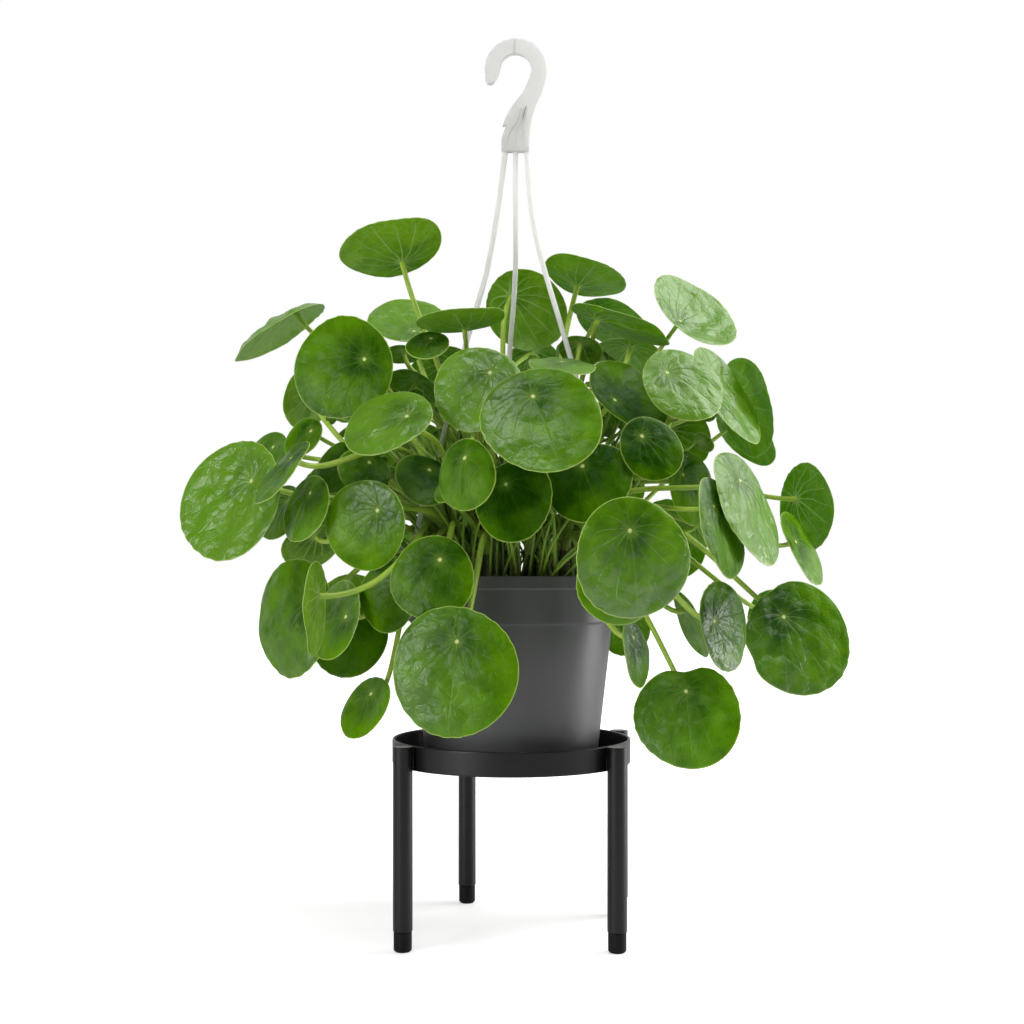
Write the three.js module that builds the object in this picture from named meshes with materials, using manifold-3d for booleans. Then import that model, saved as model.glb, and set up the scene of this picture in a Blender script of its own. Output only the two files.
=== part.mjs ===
// A potted pilea: round-leaved plant in a dark hanging pot with its white hanger,
// standing in a low black metal plant stand.
// Millimetres, +Z up, +X to the right, +Y away from the front.
// Origin: on the floor, under the axis of the stand and the pot.

import * as THREE from 'three';
import { mergeVertices } from 'three/addons/utils/BufferGeometryUtils.js';
import Module from 'manifold-3d';

// driving dimensions

const clearance = 0.3;               // gap between pieces that rest on each other
const roundSides = 30;

const stand = {
  trayRadius: 89, trayTop: 145, trayBottom: 127.4, wall: 2, rimRound: 0.6,
  legRadius: 7, legWall: 1.2, legCap: 1.5, legSides: 12,
  footHeight: 14.3, footRadius: 6.5, footRound: 1.4, spigotRadius: 5.3, spigotHeight: 14,
  padWidth: 8, padReach: 2, padMargin: 1.5,     // the weld pad between a leg and the tray's wall
  // angle from the front, positive to the right
  legs: { front_left: -53, front_right: 51, back_right: 119, back_left: -158 },
};

const pot = {
  baseRadius: 64, footRing: 1, baseTop: 2.2, wall: 2.2,
  bodyTop: 231.5, bodyTopRadius: 75.5,
  collarBottomRadius: 77, collarTop: 256.5, collarTopRadius: 78.8,
  lipTop: 266, lipRadius: 80, lipWall: 3.2, lipRound: 0.8, recess: 8,
};

const soil = { edge: 253.5, crown: 256.5, holeFloor: 243, holeGap: 0.3 };

const hanger = {
  ringX: 3.4, ringZ: 645.3, ringOuter: 23.4, ringInner: 11.4,
  yokeLeft: -7.4, yokeRight: 13.7, yokeBottom: 583.3, thickness: 6, bevel: 0.8,
  strandRadius: 2.2, strandSides: 6, strandSteps: 13, strandDrop: 0.8,
  clipWidth: 9, clipWall: 2.2, clipDepth: 8, clipLip: 5,
};

// strands from the yoke down to the rim of the pot
const strandRoutes = {
  left: [[-4.5, 0, 583], [-10.3, -1, 538], [-18.8, -5, 491], [-33, -12, 440], [-51, -18, 366],
    [-63, -22, 329], [-73.3, -26.5, 270]],
  right: [[11.6, 0, 583], [14.8, -1, 543], [22.3, -5, 503], [42.7, -14, 431], [58, -18, 372],
    [69, -21, 318], [74.6, -22.8, 270]],
  back: [[3.1, 0, 583], [3.4, 14, 515], [2, 34, 481], [-1, 50, 446], [-6, 65, 375], [-10.5, 74, 320],
    [-13, 77, 270]],
};

const plant = {
  soilTop: 255, stemRadius: 5, stemTopRatio: 0.75, stemSides: 8,
  petioleBase: 2.5, petioleTip: 1.9, petioleSides: 3, petioleStep: 35,
  bladeThickness: 0.9, hubOffset: 0.45,
  bladeGap: 4, petioleGap: 3.7,
  eyeDistance: 1050, eyeHeight: 269, depthStretch: 1.3, seed: 7,
};

// stems: x, y and height above the soil
const stems = {
  a: [-40, -34, 46], b: [-16, -50, 42], c: [12, -46, 44], d: [38, -36, 46], e: [-54, -2, 52],
  f: [54, -8, 52], g: [-20, 8, 80], h: [20, 6, 80], i: [0, 34, 74], j: [46, 26, 60],
  k: [-44, 32, 60], l: [-18, 56, 50], m: [22, 56, 50],
};

// Leaves as someone sees them who stands in front, eyeDistance away and eyeHeight up:
// stem, across, up, depth behind the axis (before depthStretch), long width, short width as seen,
// slant of the long width, clock angle of the leaf's hub (0 right, 90 up),
// face seen (1 upper, -1 under), lean (1 tips up, -1 tips down), cupping in percent.
const frontLeaves = [
  ['c', 23, 385, -125, 94, 79, -5, 111, 1, 1, -6],
  ['b', -44, 194, -120, 101, 96, 90, 84, 1, 1, -8],
  ['d', 92, 279, -130, 93, 87, 90, 96, 1, -1, -6],
  ['b', -26, 407, -75, 69, 63, 30, 51, 1, 1, -6],
  ['a', -60, 265, -102, 66, 63, 45, 66, 1, 1, -8],
  ['c', 1, 323, -92, 65, 57, 60, 115, 1, 1, -6],
  ['d', 58, 337, -88, 69, 58, 25, 112, 1, 1, -4],
  ['b', -38, 342, -115, 56, 43, 82, 83, 1, 1, -22],
  ['a', -94, 382.5, -85, 71, 42, 25, 17, 1, 1, -6],
  ['a', -127, 422, -50, 80, 73, 60, 24, 1, 1, -5],
  ['a', -111, 304, -82, 69, 61, 90, 49, 1, 1, -6],
  ['e', -210, 322, -55, 96, 69, 65, 48, 1, 1, 8],
  ['d', 106, 362, -88, 53, 44, -45, 128, 1, 1, -6],
  ['f', 130.5, 411.5, -55, 67, 48, -35, 146, 1, 1, -14],
  ['f', 217.5, 219.5, -50, 89, 77, -70, 126, 1, 1, -8],
  ['d', 132.5, 162, -70, 82, 80, 0, 95, 1, 1, -10],
  ['h', 87.5, 401.5, -35, 70, 38, -40, 197, 1, 1, 6],
  ['g', -89.5, 510, -30, 79, 42, 13, -45, -1, 1, 8],
  ['g', -179, 457, 40, 80, 17, 33, 36, -1, 1, -24],
  ['g', -78, 457, 50, 60, 32, 0, -54, 1, 1, 6],
  ['g', -38, 456, -45, 68, 18, 6, -60, -1, 1, 8],
  ['i', 12, 466, 62, 65, 58, -40, 138, -1, 1, -12],
  ['h', 54.5, 489.5, 40, 64, 28, -16, -133, -1, 1, 6],
  ['h', 78, 456, 80, 62, 33, -27, 150, -1, 1, -6],
  ['h', 82, 453, 0, 80, 17, -21, 160, -1, 1, 6],
  ['j', 135, 460.5, 25, 75, 34, -38, 201, 1, 1, 18],
  ['f', 161, 401, -35, 86, 26, -58, 148, 1, 1, 6],
  ['j', 179, 393, 25, 76, 39, -78, 170, -1, 1, -6],
  ['j', 177, 374, 75, 60, 30, -50, 150, -1, 1, -6],
  ['j', 129, 370, 60, 48, 42, -60, 150, -1, 1, -6],
  ['j', 223.5, 317, 15, 68, 40, -88, 141, -1, 1, -6],
  ['f', 181, 319, -62, 94, 33, -66, 110, 1, 1, -6],
  ['j', 166, 323, -72, 79, 18, -70, 110, -1, 1, -6],
  ['f', 160, 302, -95, 80, 28, -75, 110, 1, 1, -6],
  ['j', 221, 288, -25, 62, 17, -64, 150, 1, 1, -6],
  ['f', 162, 229, -40, 70, 34, -82, 160, 1, 1, -6],
  ['j', 137, 230, 15, 55, 16, -65, 120, -1, 1, -6],
  ['d', 95, 208, -95, 53, 18, -80, 100, 1, 1, -6],
  ['j', 136, 332, -20, 58, 32, -80, 120, 1, 1, -6],
  ['d', 81, 261, -110, 66, 62, 90, 96, 1, -1, -6],
  ['k', -185, 354, 45, 47, 26, 60, 60, 1, 1, -6],
  ['e', -175, 345, -85, 62, 14, 50, 50, 1, 1, -6],
  ['e', -157, 370, 15, 36, 22, 50, 40, 1, 1, -6],
  ['a', -156, 317, -65, 54, 30, 68, 70, 1, 1, -6],
  ['k', -174, 314, 70, 45, 28, 60, 60, -1, 1, -6],
  ['k', -151, 289, 55, 46, 32, 20, 60, -1, 1, -6],
  ['e', -155, 398, 60, 47, 34, 80, 40, -1, 1, -6],
  ['e', -131, 347, -20, 42, 30, 60, 40, 1, 1, -6],
  ['a', -110, 345, -50, 42, 34, -30, 60, 1, 1, -6],
  ['a', -93, 251, -75, 56, 44, 80, 60, 1, 1, -6],
  ['a', -109, 167, -50, 52, 30, 58, 73, 1, 1, 4],
  ['e', -166.5, 235, -10, 92, 54, 86, 45, 1, 1, -6],
  ['e', -150, 242, -118, 73, 17, 88, 60, -1, 1, -6],
  ['a', -134, 233, -62, 63, 33, 72, 18, 1, 1, -6],
  ['k', -122, 218, 25, 60, 52, 30, 110, 1, 1, -6],
  ['c', 38, 425, -64, 52, 12, -5, 90, 1, 1, -6],
  ['h', 52, 435, 5, 34, 24, -10, 90, -1, 1, -6],
  ['h', 89, 431, 60, 54, 30, -10, 90, -1, 1, -6],
  ['g', -82, 433, -5, 28, 14, 0, 60, -1, 1, -6],
  ['g', -63, 440, -55, 34, 20, 10, 60, 1, 1, -6],
  ['g', -74, 409, -10, 42, 24, -20, 60, -1, 1, -6],
  ['b', -65, 339, -55, 46, 36, -30, 60, 1, 1, -6],
  ['j', 141, 300, 12, 36, 20, -20, 120, -1, 1, -6],
];

// The leaves on the far side, in the same terms, as seen from behind.
const backLeaves = [
  ['l', 25, 225, -125, 88, 84, 90, 88, 1, 1, -8],
  ['m', -62, 262, -120, 84, 80, 80, 70, 1, 1, -6],
  ['k', 95, 275, -110, 82, 74, -60, 120, 1, 1, -6],
  ['l', 5, 345, -120, 90, 80, 10, 95, 1, 1, -6],
  ['m', -88, 350, -100, 80, 70, 20, 70, 1, 1, -6],
  ['k', 90, 372, -95, 84, 72, -20, 110, 1, 1, -6],
  ['i', -25, 425, -90, 80, 66, -10, 90, 1, 1, -6],
  ['i', 60, 440, -70, 70, 50, -15, 120, 1, 1, -6],
  ['j', -150, 300, -92, 78, 60, 70, 50, 1, 1, -6],
  ['k', 160, 330, -78, 80, 62, -70, 130, 1, 1, -6],
  ['k', 150, 230, -90, 76, 66, -80, 130, 1, 1, -8],
  ['m', -30, 165, -125, 60, 54, 90, 90, 1, 1, -8],
  ['l', 75, 178, -110, 66, 52, -60, 110, 1, 1, -8],
  ['i', -20, 478, -115, 58, 34, -10, 95, 1, 1, -8],
  ['j', -130, 400, -70, 66, 48, 40, 60, 1, 1, -6],
  ['k', 135, 425, -50, 62, 44, -40, 130, 1, 1, -6],
  ['l', 45, 398, -135, 50, 40, -40, 100, 1, 1, -6],
  ['m', -38, 305, -138, 50, 44, 80, 90, 1, 1, -6],
  ['l', 58, 315, -136, 54, 48, -70, 100, 1, 1, -6],
  ['m', -112, 290, -80, 60, 46, 60, 60, 1, 1, -6],
  ['j', -222, 228, -40, 56, 40, 75, 50, 1, 1, -6],
  ['m', -110, 215, -105, 56, 48, 80, 60, 1, 1, -8],
];

// solids

const wasm = await Module();
wasm.setup();

const radians = THREE.MathUtils.degToRad;
const vector = (x, y, z) => new THREE.Vector3(x, y, z);

function toSolid(geometry) {
  const bare = geometry.clone();
  bare.deleteAttribute('normal');
  bare.deleteAttribute('uv');
  const merged = mergeVertices(bare, 1e-4);
  return new wasm.Manifold(new wasm.Mesh({
    numProp: 3,
    vertProperties: new Float32Array(merged.attributes.position.array),
    triVerts: new Uint32Array(merged.index.array),
  }));
}

function toGeometry(solid) {
  const mesh = solid.getMesh();
  const geometry = new THREE.BufferGeometry();
  geometry.setAttribute('position', new THREE.Float32BufferAttribute(mesh.vertProperties, 3));
  geometry.setIndex(Array.from(mesh.triVerts));
  return geometry;
}

// a solid from its corner points and faces, each face a list of three corners
function facetSolid(points, faces) {
  const geometry = new THREE.BufferGeometry();
  geometry.setAttribute('position', new THREE.Float32BufferAttribute(points.flatMap((p) => p.toArray()), 3));
  geometry.setIndex(faces.flat());
  return toSolid(geometry);
}

const group = new THREE.Group();

function addPiece(name, geometry, color, roughness, metalness = 0) {
  const mesh = new THREE.Mesh(geometry, new THREE.MeshStandardMaterial({ color, roughness, metalness }));
  mesh.name = name;
  group.add(mesh);
  return mesh;
}

// a turned piece: [radius, height] corners, standing along Z
function turned(corners, sides) {
  const profile = corners.map(([r, z]) => new THREE.Vector2(r, z));
  return new THREE.LatheGeometry(profile, sides).rotateX(Math.PI / 2);
}

function block(sizeX, sizeY, sizeZ, x, y, z) {
  return new THREE.BoxGeometry(sizeX, sizeY, sizeZ).translate(x, y, z);
}

// stand

function makeTray() {
  const { trayRadius: r, trayTop: top, trayBottom: low, wall, rimRound: edge } = stand;
  return turned([
    [0, low], [r, low], [r, top - edge], [r - wall / 2, top],
    [r - wall, top - edge], [r - wall, low + wall], [0, low + wall],
  ], roundSides);
}

function makeLeg() {
  const { legRadius: r, legWall, legCap, trayTop: top, footHeight, trayBottom, rimRound: edge } = stand;
  const { padWidth, padReach, padMargin } = stand;
  const low = footHeight + clearance;
  const inner = r - legWall;
  const tube = turned([
    [inner, low], [r, low], [r, top - edge], [r - edge, top], [0, top], [0, top - legCap], [inner, top - legCap],
    [inner, low],
  ], stand.legSides);
  const padBack = inner + legWall / 2;
  const padFront = r + padReach;
  const pad = block(padWidth, padFront - padBack, top - trayBottom - 2 * padMargin,
    0, (padFront + padBack) / 2, (top + trayBottom) / 2);
  const bore = turned([[0, low], [padBack, low], [padBack, top - legCap], [0, top - legCap]], stand.legSides);
  return toSolid(tube).add(toSolid(pad).subtract(toSolid(bore)));
}

function makeFoot() {
  const { footRadius: r, footHeight: h, footRound, spigotRadius, spigotHeight } = stand;
  return turned([
    [0, 0], [r - footRound, 0], [r, footRound], [r, h], [spigotRadius, h], [spigotRadius, h + spigotHeight],
    [0, h + spigotHeight],
  ], stand.legSides);
}

function addStand() {
  addPiece('tray', makeTray(), 0x202123, 0.45, 0.4);
  const offset = stand.trayRadius + stand.legRadius + clearance;
  const cut = stand.trayRadius + clearance;
  const trayCut = toSolid(turned([[0, 0], [cut, 0], [cut, 2 * stand.trayTop], [0, 2 * stand.trayTop]], 2 * roundSides));
  for (const [name, angle] of Object.entries(stand.legs)) {
    const a = radians(angle);
    const place = vector(offset * Math.sin(a), -offset * Math.cos(a), 0);
    const turn = new THREE.Matrix4().makeRotationZ(a).setPosition(place);
    const leg = toSolid(toGeometry(makeLeg()).applyMatrix4(turn)).subtract(trayCut);
    addPiece(`leg_${name}`, toGeometry(leg), 0x232426, 0.45, 0.4);
    addPiece(`foot_${name}`, makeFoot().applyMatrix4(turn), 0x0d0d0e, 0.6);
  }
}

// pot and soil

const potBase = stand.trayBottom + stand.wall + clearance;

function bodyRadius(z) {
  const f = (z - potBase) / (pot.bodyTop - potBase);
  return pot.baseRadius + f * (pot.bodyTopRadius - pot.baseRadius);
}

function makePot() {
  const { wall, baseTop, bodyTop, bodyTopRadius, collarBottomRadius, collarTop, collarTopRadius } = pot;
  const { lipTop, lipRadius, lipWall, lipRound, footRing, baseRadius, recess } = pot;
  const floor = potBase + footRing + baseTop;
  return turned([
    [0, potBase + footRing], [baseRadius - recess, potBase + footRing], [baseRadius - recess + footRing, potBase],
    [baseRadius, potBase], [bodyTopRadius, bodyTop], [collarBottomRadius, bodyTop + lipRound],
    [collarTopRadius, collarTop], [lipRadius, collarTop + lipRound], [lipRadius, lipTop - lipRound],
    [lipRadius - lipRound, lipTop], [lipRadius - lipWall, lipTop], [lipRadius - lipWall, collarTop - wall],
    [bodyTopRadius - wall, bodyTop - wall], [baseRadius - wall, floor], [0, floor],
  ], roundSides);
}

function soilHole([x, y]) {
  const r = plant.stemRadius + soil.holeGap;
  const above = soil.crown + r;
  const hole = turned([[0, soil.holeFloor], [r, soil.holeFloor], [r, above], [0, above]], plant.stemSides);
  return toSolid(hole.translate(x, y, 0));
}

function makeSoil() {
  const floor = potBase + pot.footRing + pot.baseTop + clearance;
  const inset = pot.wall + 2 * clearance;
  const bodyTop = pot.bodyTop - pot.wall;
  const edgeRadius = pot.collarTopRadius - inset - clearance;
  const body = turned([
    [0, floor], [bodyRadius(floor) - inset, floor], [pot.bodyTopRadius - inset, bodyTop],
    [edgeRadius, soil.edge], [edgeRadius / 2, soil.crown], [0, soil.crown - clearance],
  ], roundSides);
  return Object.values(stems).reduce((solid, stem) => solid.subtract(soilHole(stem)), toSolid(body));
}

// hanger

function makeHook() {
  const { ringX: x, ringZ: z, ringOuter, ringInner, yokeLeft, yokeRight, yokeBottom, thickness, bevel } = hanger;
  const tipAngle = radians(200);     // where the free arm of the hook starts to close
  const tipX = x - (ringOuter + ringInner) / 2 - 1.6;
  const tipZ = z - 11.2;
  const shape = new THREE.Shape();
  shape.moveTo(yokeRight, yokeBottom);
  shape.lineTo(yokeRight, yokeBottom + 10);
  shape.quadraticCurveTo(yokeRight + 0.2, yokeBottom + 24, yokeRight + 5, yokeBottom + 36);
  shape.quadraticCurveTo(x + ringOuter - 0.6, z - 12, x + ringOuter, z - 2);
  shape.absarc(x, z, ringOuter, 0, tipAngle - radians(10), false);
  shape.quadraticCurveTo(tipX - 4.5, tipZ, tipX, tipZ);
  shape.quadraticCurveTo(tipX + 4, tipZ, x + ringInner * Math.cos(tipAngle), z + ringInner * Math.sin(tipAngle));
  shape.absarc(x, z, ringInner, tipAngle, radians(-18), true);
  shape.quadraticCurveTo(x + 8, z - 13, x + 2.6, z - 20.5);
  shape.quadraticCurveTo(x - 4.5, z - 28.5, x - 9, z - 39);
  shape.lineTo(x - 9.8, z - 42.5);   // the small barb on the neck
  shape.lineTo(x - 7, z - 42);
  shape.quadraticCurveTo(yokeLeft, yokeBottom + 12, yokeLeft, yokeBottom + 8);
  shape.lineTo(yokeLeft, yokeBottom);
  shape.closePath();
  const geometry = new THREE.ExtrudeGeometry(shape, {
    depth: thickness - 2 * bevel, bevelEnabled: true, bevelThickness: bevel, bevelSize: bevel,
    bevelOffset: -bevel, bevelSegments: 1, curveSegments: 6,
  });
  return geometry.translate(0, 0, bevel - thickness / 2).rotateX(Math.PI / 2);
}

// a round rod along a line of points, closed at both ends; radii run from the first to the last
function rod(line, firstRadius, lastRadius, sides) {
  const points = [];
  const faces = [];
  const last = line.length - 1;
  let across = null;
  line.forEach((point, i) => {
    const ahead = line[Math.min(i + 1, last)].clone().sub(line[Math.max(i - 1, 0)]).normalize();
    if (!across) across = Math.abs(ahead.z) < 0.9 ? vector(0, 0, 1) : vector(1, 0, 0);
    across = across.clone().addScaledVector(ahead, -across.dot(ahead)).normalize();
    const third = ahead.clone().cross(across);
    const radius = firstRadius + (lastRadius - firstRadius) * i / last;
    for (let j = 0; j < sides; j += 1) {
      const a = 2 * Math.PI * j / sides;
      points.push(point.clone().addScaledVector(across, radius * Math.cos(a)).addScaledVector(third, radius * Math.sin(a)));
    }
    for (let j = 0; i > 0 && j < sides; j += 1) {
      const k = (j + 1) % sides;
      const here = i * sides;
      const before = here - sides;
      faces.push([before + j, before + k, here + k], [before + j, here + k, here + j]);
    }
  });
  for (let j = 1; j < sides - 1; j += 1) {
    faces.push([0, j + 1, j], [last * sides, last * sides + j, last * sides + j + 1]);
  }
  return facetSolid(points, faces);
}

// an even curve through hand-set points, cut into equal steps of its parameter
function smoothRoute(route, count) {
  const p = route.map(([x, y, z]) => vector(x, y, z));
  const last = p.length - 1;
  const out = [];
  for (let i = 0; i <= count; i += 1) {
    const t = i / count * last;
    const k = Math.min(Math.floor(t), last - 1);
    const f = t - k;
    const a = p[k];
    const b = p[k + 1];
    const before = k > 0 ? p[k - 1] : a.clone().multiplyScalar(2).sub(b);
    const after = k + 2 <= last ? p[k + 2] : b.clone().multiplyScalar(2).sub(a);
    const blend = (m) => 0.5 * (2 * a[m] + (b[m] - before[m]) * f
      + (2 * before[m] - 5 * a[m] + 4 * b[m] - after[m]) * f * f
      + (3 * a[m] - before[m] - 3 * b[m] + after[m]) * f ** 3);
    out.push(vector(blend('x'), blend('y'), blend('z')));
  }
  return out;
}

// the snap clip at the foot of a strand: one leg inside the rim, a saddle over it and a lip outside
function makeClip(foot) {
  const { clipWidth, clipWall, clipDepth, clipLip } = hanger;
  const rimOuter = pot.lipRadius + clearance;
  const rimInner = pot.lipRadius - pot.lipWall - clearance;
  const saddle = pot.lipTop + clearance;
  const outer = rimOuter + clipWall;
  const inner = rimInner - clipWall;
  const face = (inner + outer) / 2;
  const low = saddle - clipDepth;
  const spare = clipWall;
  const ring = toSolid(turned([
    [rimInner, low - spare], [rimOuter, low - spare], [rimOuter, saddle], [rimInner, saddle],
    [rimInner, low - spare],
  ], roundSides));
  const body = block(outer - inner, clipWidth, clipDepth + clipWall, face, 0, (low + saddle + clipWall) / 2)
    .rotateZ(Math.atan2(foot.y, foot.x));
  const below = turned([
    [rimOuter - spare, low - spare], [outer + spare, low - spare], [outer + spare, saddle - clipLip],
    [rimOuter - spare, saddle - clipLip], [rimOuter - spare, low - spare],
  ], roundSides);
  return toSolid(body).subtract(ring).subtract(toSolid(below));
}

function makeStrand(route) {
  const { strandRadius: r, strandSides, strandSteps, strandDrop, yokeBottom } = hanger;
  const line = smoothRoute(route, strandSteps);
  line[0].z = yokeBottom - strandDrop;     // its end is square to the strand, so one edge is higher
  const foot = line[line.length - 1];
  foot.z = pot.lipTop + clearance + hanger.clipWall / 2;
  return rod(line, r, r, strandSides).add(makeClip(foot));
}

function addHanger() {
  addPiece('hanger_hook', makeHook(), 0xe6e6e3, 0.4);
  for (const [name, route] of Object.entries(strandRoutes)) {
    addPiece(`strand_${name}`, toGeometry(makeStrand(route)), 0xe6e6e3, 0.4);
  }
}

// leaf layout

// the same even draws on every run
function randomStream(seed) {
  let state = seed;
  return () => {
    state = state * 16807 % 2147483647;
    return state / 2147483647;
  };
}

// How far the blade stands off its flat disc, in radii: a shallow cup or dome, a soft crease along
// the midrib, waves that grow to the rim and a dimple over the hub.
function bladeRise(blade, u, v) {
  const r2 = u * u + v * v;
  return blade.cup * r2 + blade.fold * (Math.sqrt(v * v + 0.01) - 0.1)
    + blade.wave * r2 * Math.sin(4 * Math.atan2(v, u) + blade.phase)
    - 0.04 * Math.exp(-((u + plant.hubOffset) ** 2 + v * v) / 0.03);
}

function onBlade(blade, u, v) {
  return blade.centre.clone()
    .addScaledVector(blade.tip, blade.radius * u)
    .addScaledVector(blade.side, blade.radius * v)
    .addScaledVector(blade.normal, blade.radius * bladeRise(blade, u, v));
}

// rings of points from the hub to the rim, [part of the way out, how many]
function bladeRings(blade, rings, rim) {
  return rings.map(([part, count]) => Array.from({ length: count }, (_, i) => {
    const a = 2 * Math.PI * i / count;
    const reach = part * (rim ? 1 + 0.02 * Math.sin(3 * a + blade.phase * 2) : 1);
    return onBlade(blade, reach * Math.cos(a) - (1 - part) * plant.hubOffset, reach * Math.sin(a));
  }));
}

function makeBlade(row, depth, fromBehind, draws) {
  const [stem, across, up, , broad, narrow, slant, clock, face, lean, cup] = row;
  const scale = 1 + depth / plant.eyeDistance;
  const centre = vector(across * scale, depth, plant.eyeHeight + (up - plant.eyeHeight) * scale);
  const ray = centre.clone().sub(vector(0, -plant.eyeDistance, plant.eyeHeight)).normalize();
  const right = ray.clone().cross(vector(0, 0, 1)).normalize();
  const above = right.clone().cross(ray);
  const s = radians(slant);
  const longWay = right.clone().multiplyScalar(Math.cos(s)).addScaledVector(above, Math.sin(s));
  const shortWay = above.clone().multiplyScalar(Math.cos(s)).addScaledVector(right, -Math.sin(s));
  const seen = narrow / broad;
  const normal = ray.clone().multiplyScalar(-face * seen)
    .addScaledVector(shortWay, lean * Math.sqrt(1 - seen * seen));
  const sideways = normal.clone().cross(longWay);
  const turn = radians(clock - slant);
  let squeeze = sideways.dot(shortWay);
  squeeze = Math.sign(squeeze) * Math.max(Math.abs(squeeze), 0.35);
  const tip = longWay.clone().multiplyScalar(Math.cos(turn))
    .addScaledVector(sideways, Math.sin(turn) / squeeze).normalize().negate();
  if (fromBehind) [centre, normal, tip].forEach((v) => v.set(-v.x, -v.y, v.z));
  const blade = {
    stem, centre, normal, tip, side: normal.clone().cross(tip), radius: broad * scale / 2, cup: cup / 100,
    phase: 6.283 * draws[0], fold: 0.09 * draws[1] - 0.02, wave: 0.006 + 0.014 * draws[2],
    rise: 8 * draws[0] - 4,          // how far up or down its stem the petiole starts
  };
  blade.hub = onBlade(blade, -plant.hubOffset, 0);
  blade.points = [blade.hub, ...bladeRings(blade, [[0.5, 8], [1, 16]], false).flat()];
  return blade;
}

// where points lie over a blade: within its outline, and how high above its upper face
function heightsOver(blade, points, margin) {
  const reach = 1 + margin / blade.radius;
  return points.map((point) => {
    const d = point.clone().sub(blade.centre).divideScalar(blade.radius);
    const u = d.dot(blade.tip);
    const v = d.dot(blade.side);
    if (Math.hypot(u, v) >= reach) return null;
    return (d.dot(blade.normal) - bladeRise(blade, u, v)) * blade.radius;
  });
}

const crosses = (heights) => heights.some((h, i) => i > 0 && h !== null && heights[i - 1] !== null
  && h * heights[i - 1] < 0);

function bladesMeet(a, b) {
  const gap = plant.bladeGap;
  if (a.centre.distanceTo(b.centre) > a.radius + b.radius + gap) return false;
  return [[a.points, b], [b.points, a]].some(([points, other]) => {
    const heights = heightsOver(other, points, 2).filter((h) => h !== null);
    return heights.length > 0 && Math.min(...heights) < gap && Math.max(...heights) > -gap;
  });
}

// the pot, tray and legs as stepped cylinders: their radius at a height
function potWall(z) {
  if (z > 226) return 80.5;
  return z > 150 ? 76.5 : 105;
}

const meetsPot = (points) => points.some((p) => p.z < 269 && Math.hypot(p.x, p.y) < potWall(p.z) + 3);

const strandLines = Object.values(strandRoutes).map((route) => smoothRoute(route, 66));

function meetsStrand(blade) {
  const heights = heightsOver(blade, strandLines.flat(), 4);
  return crosses(heights) || heights.some((h) => h !== null && Math.abs(h) < 5);
}

// each blade keeps its place in the view and slides along it to the first depth that is free
function placeBlades() {
  const blades = [];
  const draw = randomStream(plant.seed);
  const steps = [0];
  for (let k = 1; k < 12; k += 1) steps.push(4 * k, -4 * k);
  for (const [rows, fromBehind] of [[frontLeaves, false], [backLeaves, true]]) {
    for (const row of rows) {
      const draws = [draw(), draw(), draw()];
      for (const step of steps) {
        const blade = makeBlade(row, row[3] * plant.depthStretch + step, fromBehind, draws);
        if (meetsPot(blade.points) || meetsStrand(blade)) continue;
        if (blades.some((other) => bladesMeet(blade, other))) continue;
        blades.push(blade);
        break;
      }
    }
  }
  return blades;
}

// petioles

// bends to try for a petiole, the plainest first
function petioleTries() {
  const tries = [];
  for (const swing of [0, 0.1, -0.1, 0.2, -0.2, 0.32, -0.32, 0.45, -0.45]) {
    for (const lift of [0.42, 0.25, 0.6, 0.12, 0.8]) {
      for (const reach of [0.28, 0.16, 0.42]) {
        for (const start of [0.7, 0.5, 0.88, 0.25]) {
          for (const spread of [0.12, 0.35]) {
            const bend = Math.abs(swing) * 3 + Math.abs(lift - 0.42) + Math.abs(reach - 0.28)
              + Math.abs(start - 0.7) / 2 + spread;
            tries.push({ swing, lift, reach, start, spread, bend: Math.round(bend * 1e4) });
          }
        }
      }
    }
  }
  return tries.sort((a, b) => a.bend - b.bend);
}

// a petiole from its stem to the underside of its blade's hub, as a Bezier curve
function petioleCurve(blade, choice) {
  const [x, y, height] = stems[blade.stem];
  const p3 = blade.hub.clone().addScaledVector(blade.normal, -plant.bladeThickness / 2);
  const outward = vector(p3.x - x, p3.y - y, 0).normalize();
  const p0 = vector(x, y, plant.soilTop + height * choice.start + blade.rise).addScaledVector(outward, 2);
  const length = p3.distanceTo(p0);
  const sideways = vector(-outward.y, outward.x, 0);
  const p1 = p0.clone().add(vector(0, 0, length * choice.lift))
    .addScaledVector(outward, length * choice.spread).addScaledVector(sideways, length * choice.swing);
  const p2 = p3.clone().addScaledVector(blade.normal, -length * choice.reach)
    .addScaledVector(sideways, length * choice.swing * 0.6);
  return new THREE.CubicBezierCurve3(p0, p1, p2, p3);
}

function distanceToLine(point, line) {
  let best = Infinity;
  for (let i = 1; i < line.length; i += 1) {
    const a = line[i - 1];
    const abx = line[i].x - a.x;
    const aby = line[i].y - a.y;
    const abz = line[i].z - a.z;
    const apx = point.x - a.x;
    const apy = point.y - a.y;
    const apz = point.z - a.z;
    const f = Math.min(1, Math.max(0, (apx * abx + apy * aby + apz * abz) / (abx * abx + aby * aby + abz * abz)));
    best = Math.min(best, (apx - f * abx) ** 2 + (apy - f * aby) ** 2 + (apz - f * abz) ** 2);
  }
  return Math.sqrt(best);
}

function nearestPoint(points, others) {
  let best = Infinity;
  for (const p of points) for (const q of others) best = Math.min(best, p.distanceToSquared(q));
  return Math.sqrt(best);
}

const stemAxes = Object.entries(stems).map(([name, [x, y, height]]) => ({
  name, axis: Array.from({ length: 9 }, (_, i) => vector(x, y, plant.soilTop + height * i / 8)),
}));

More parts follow.
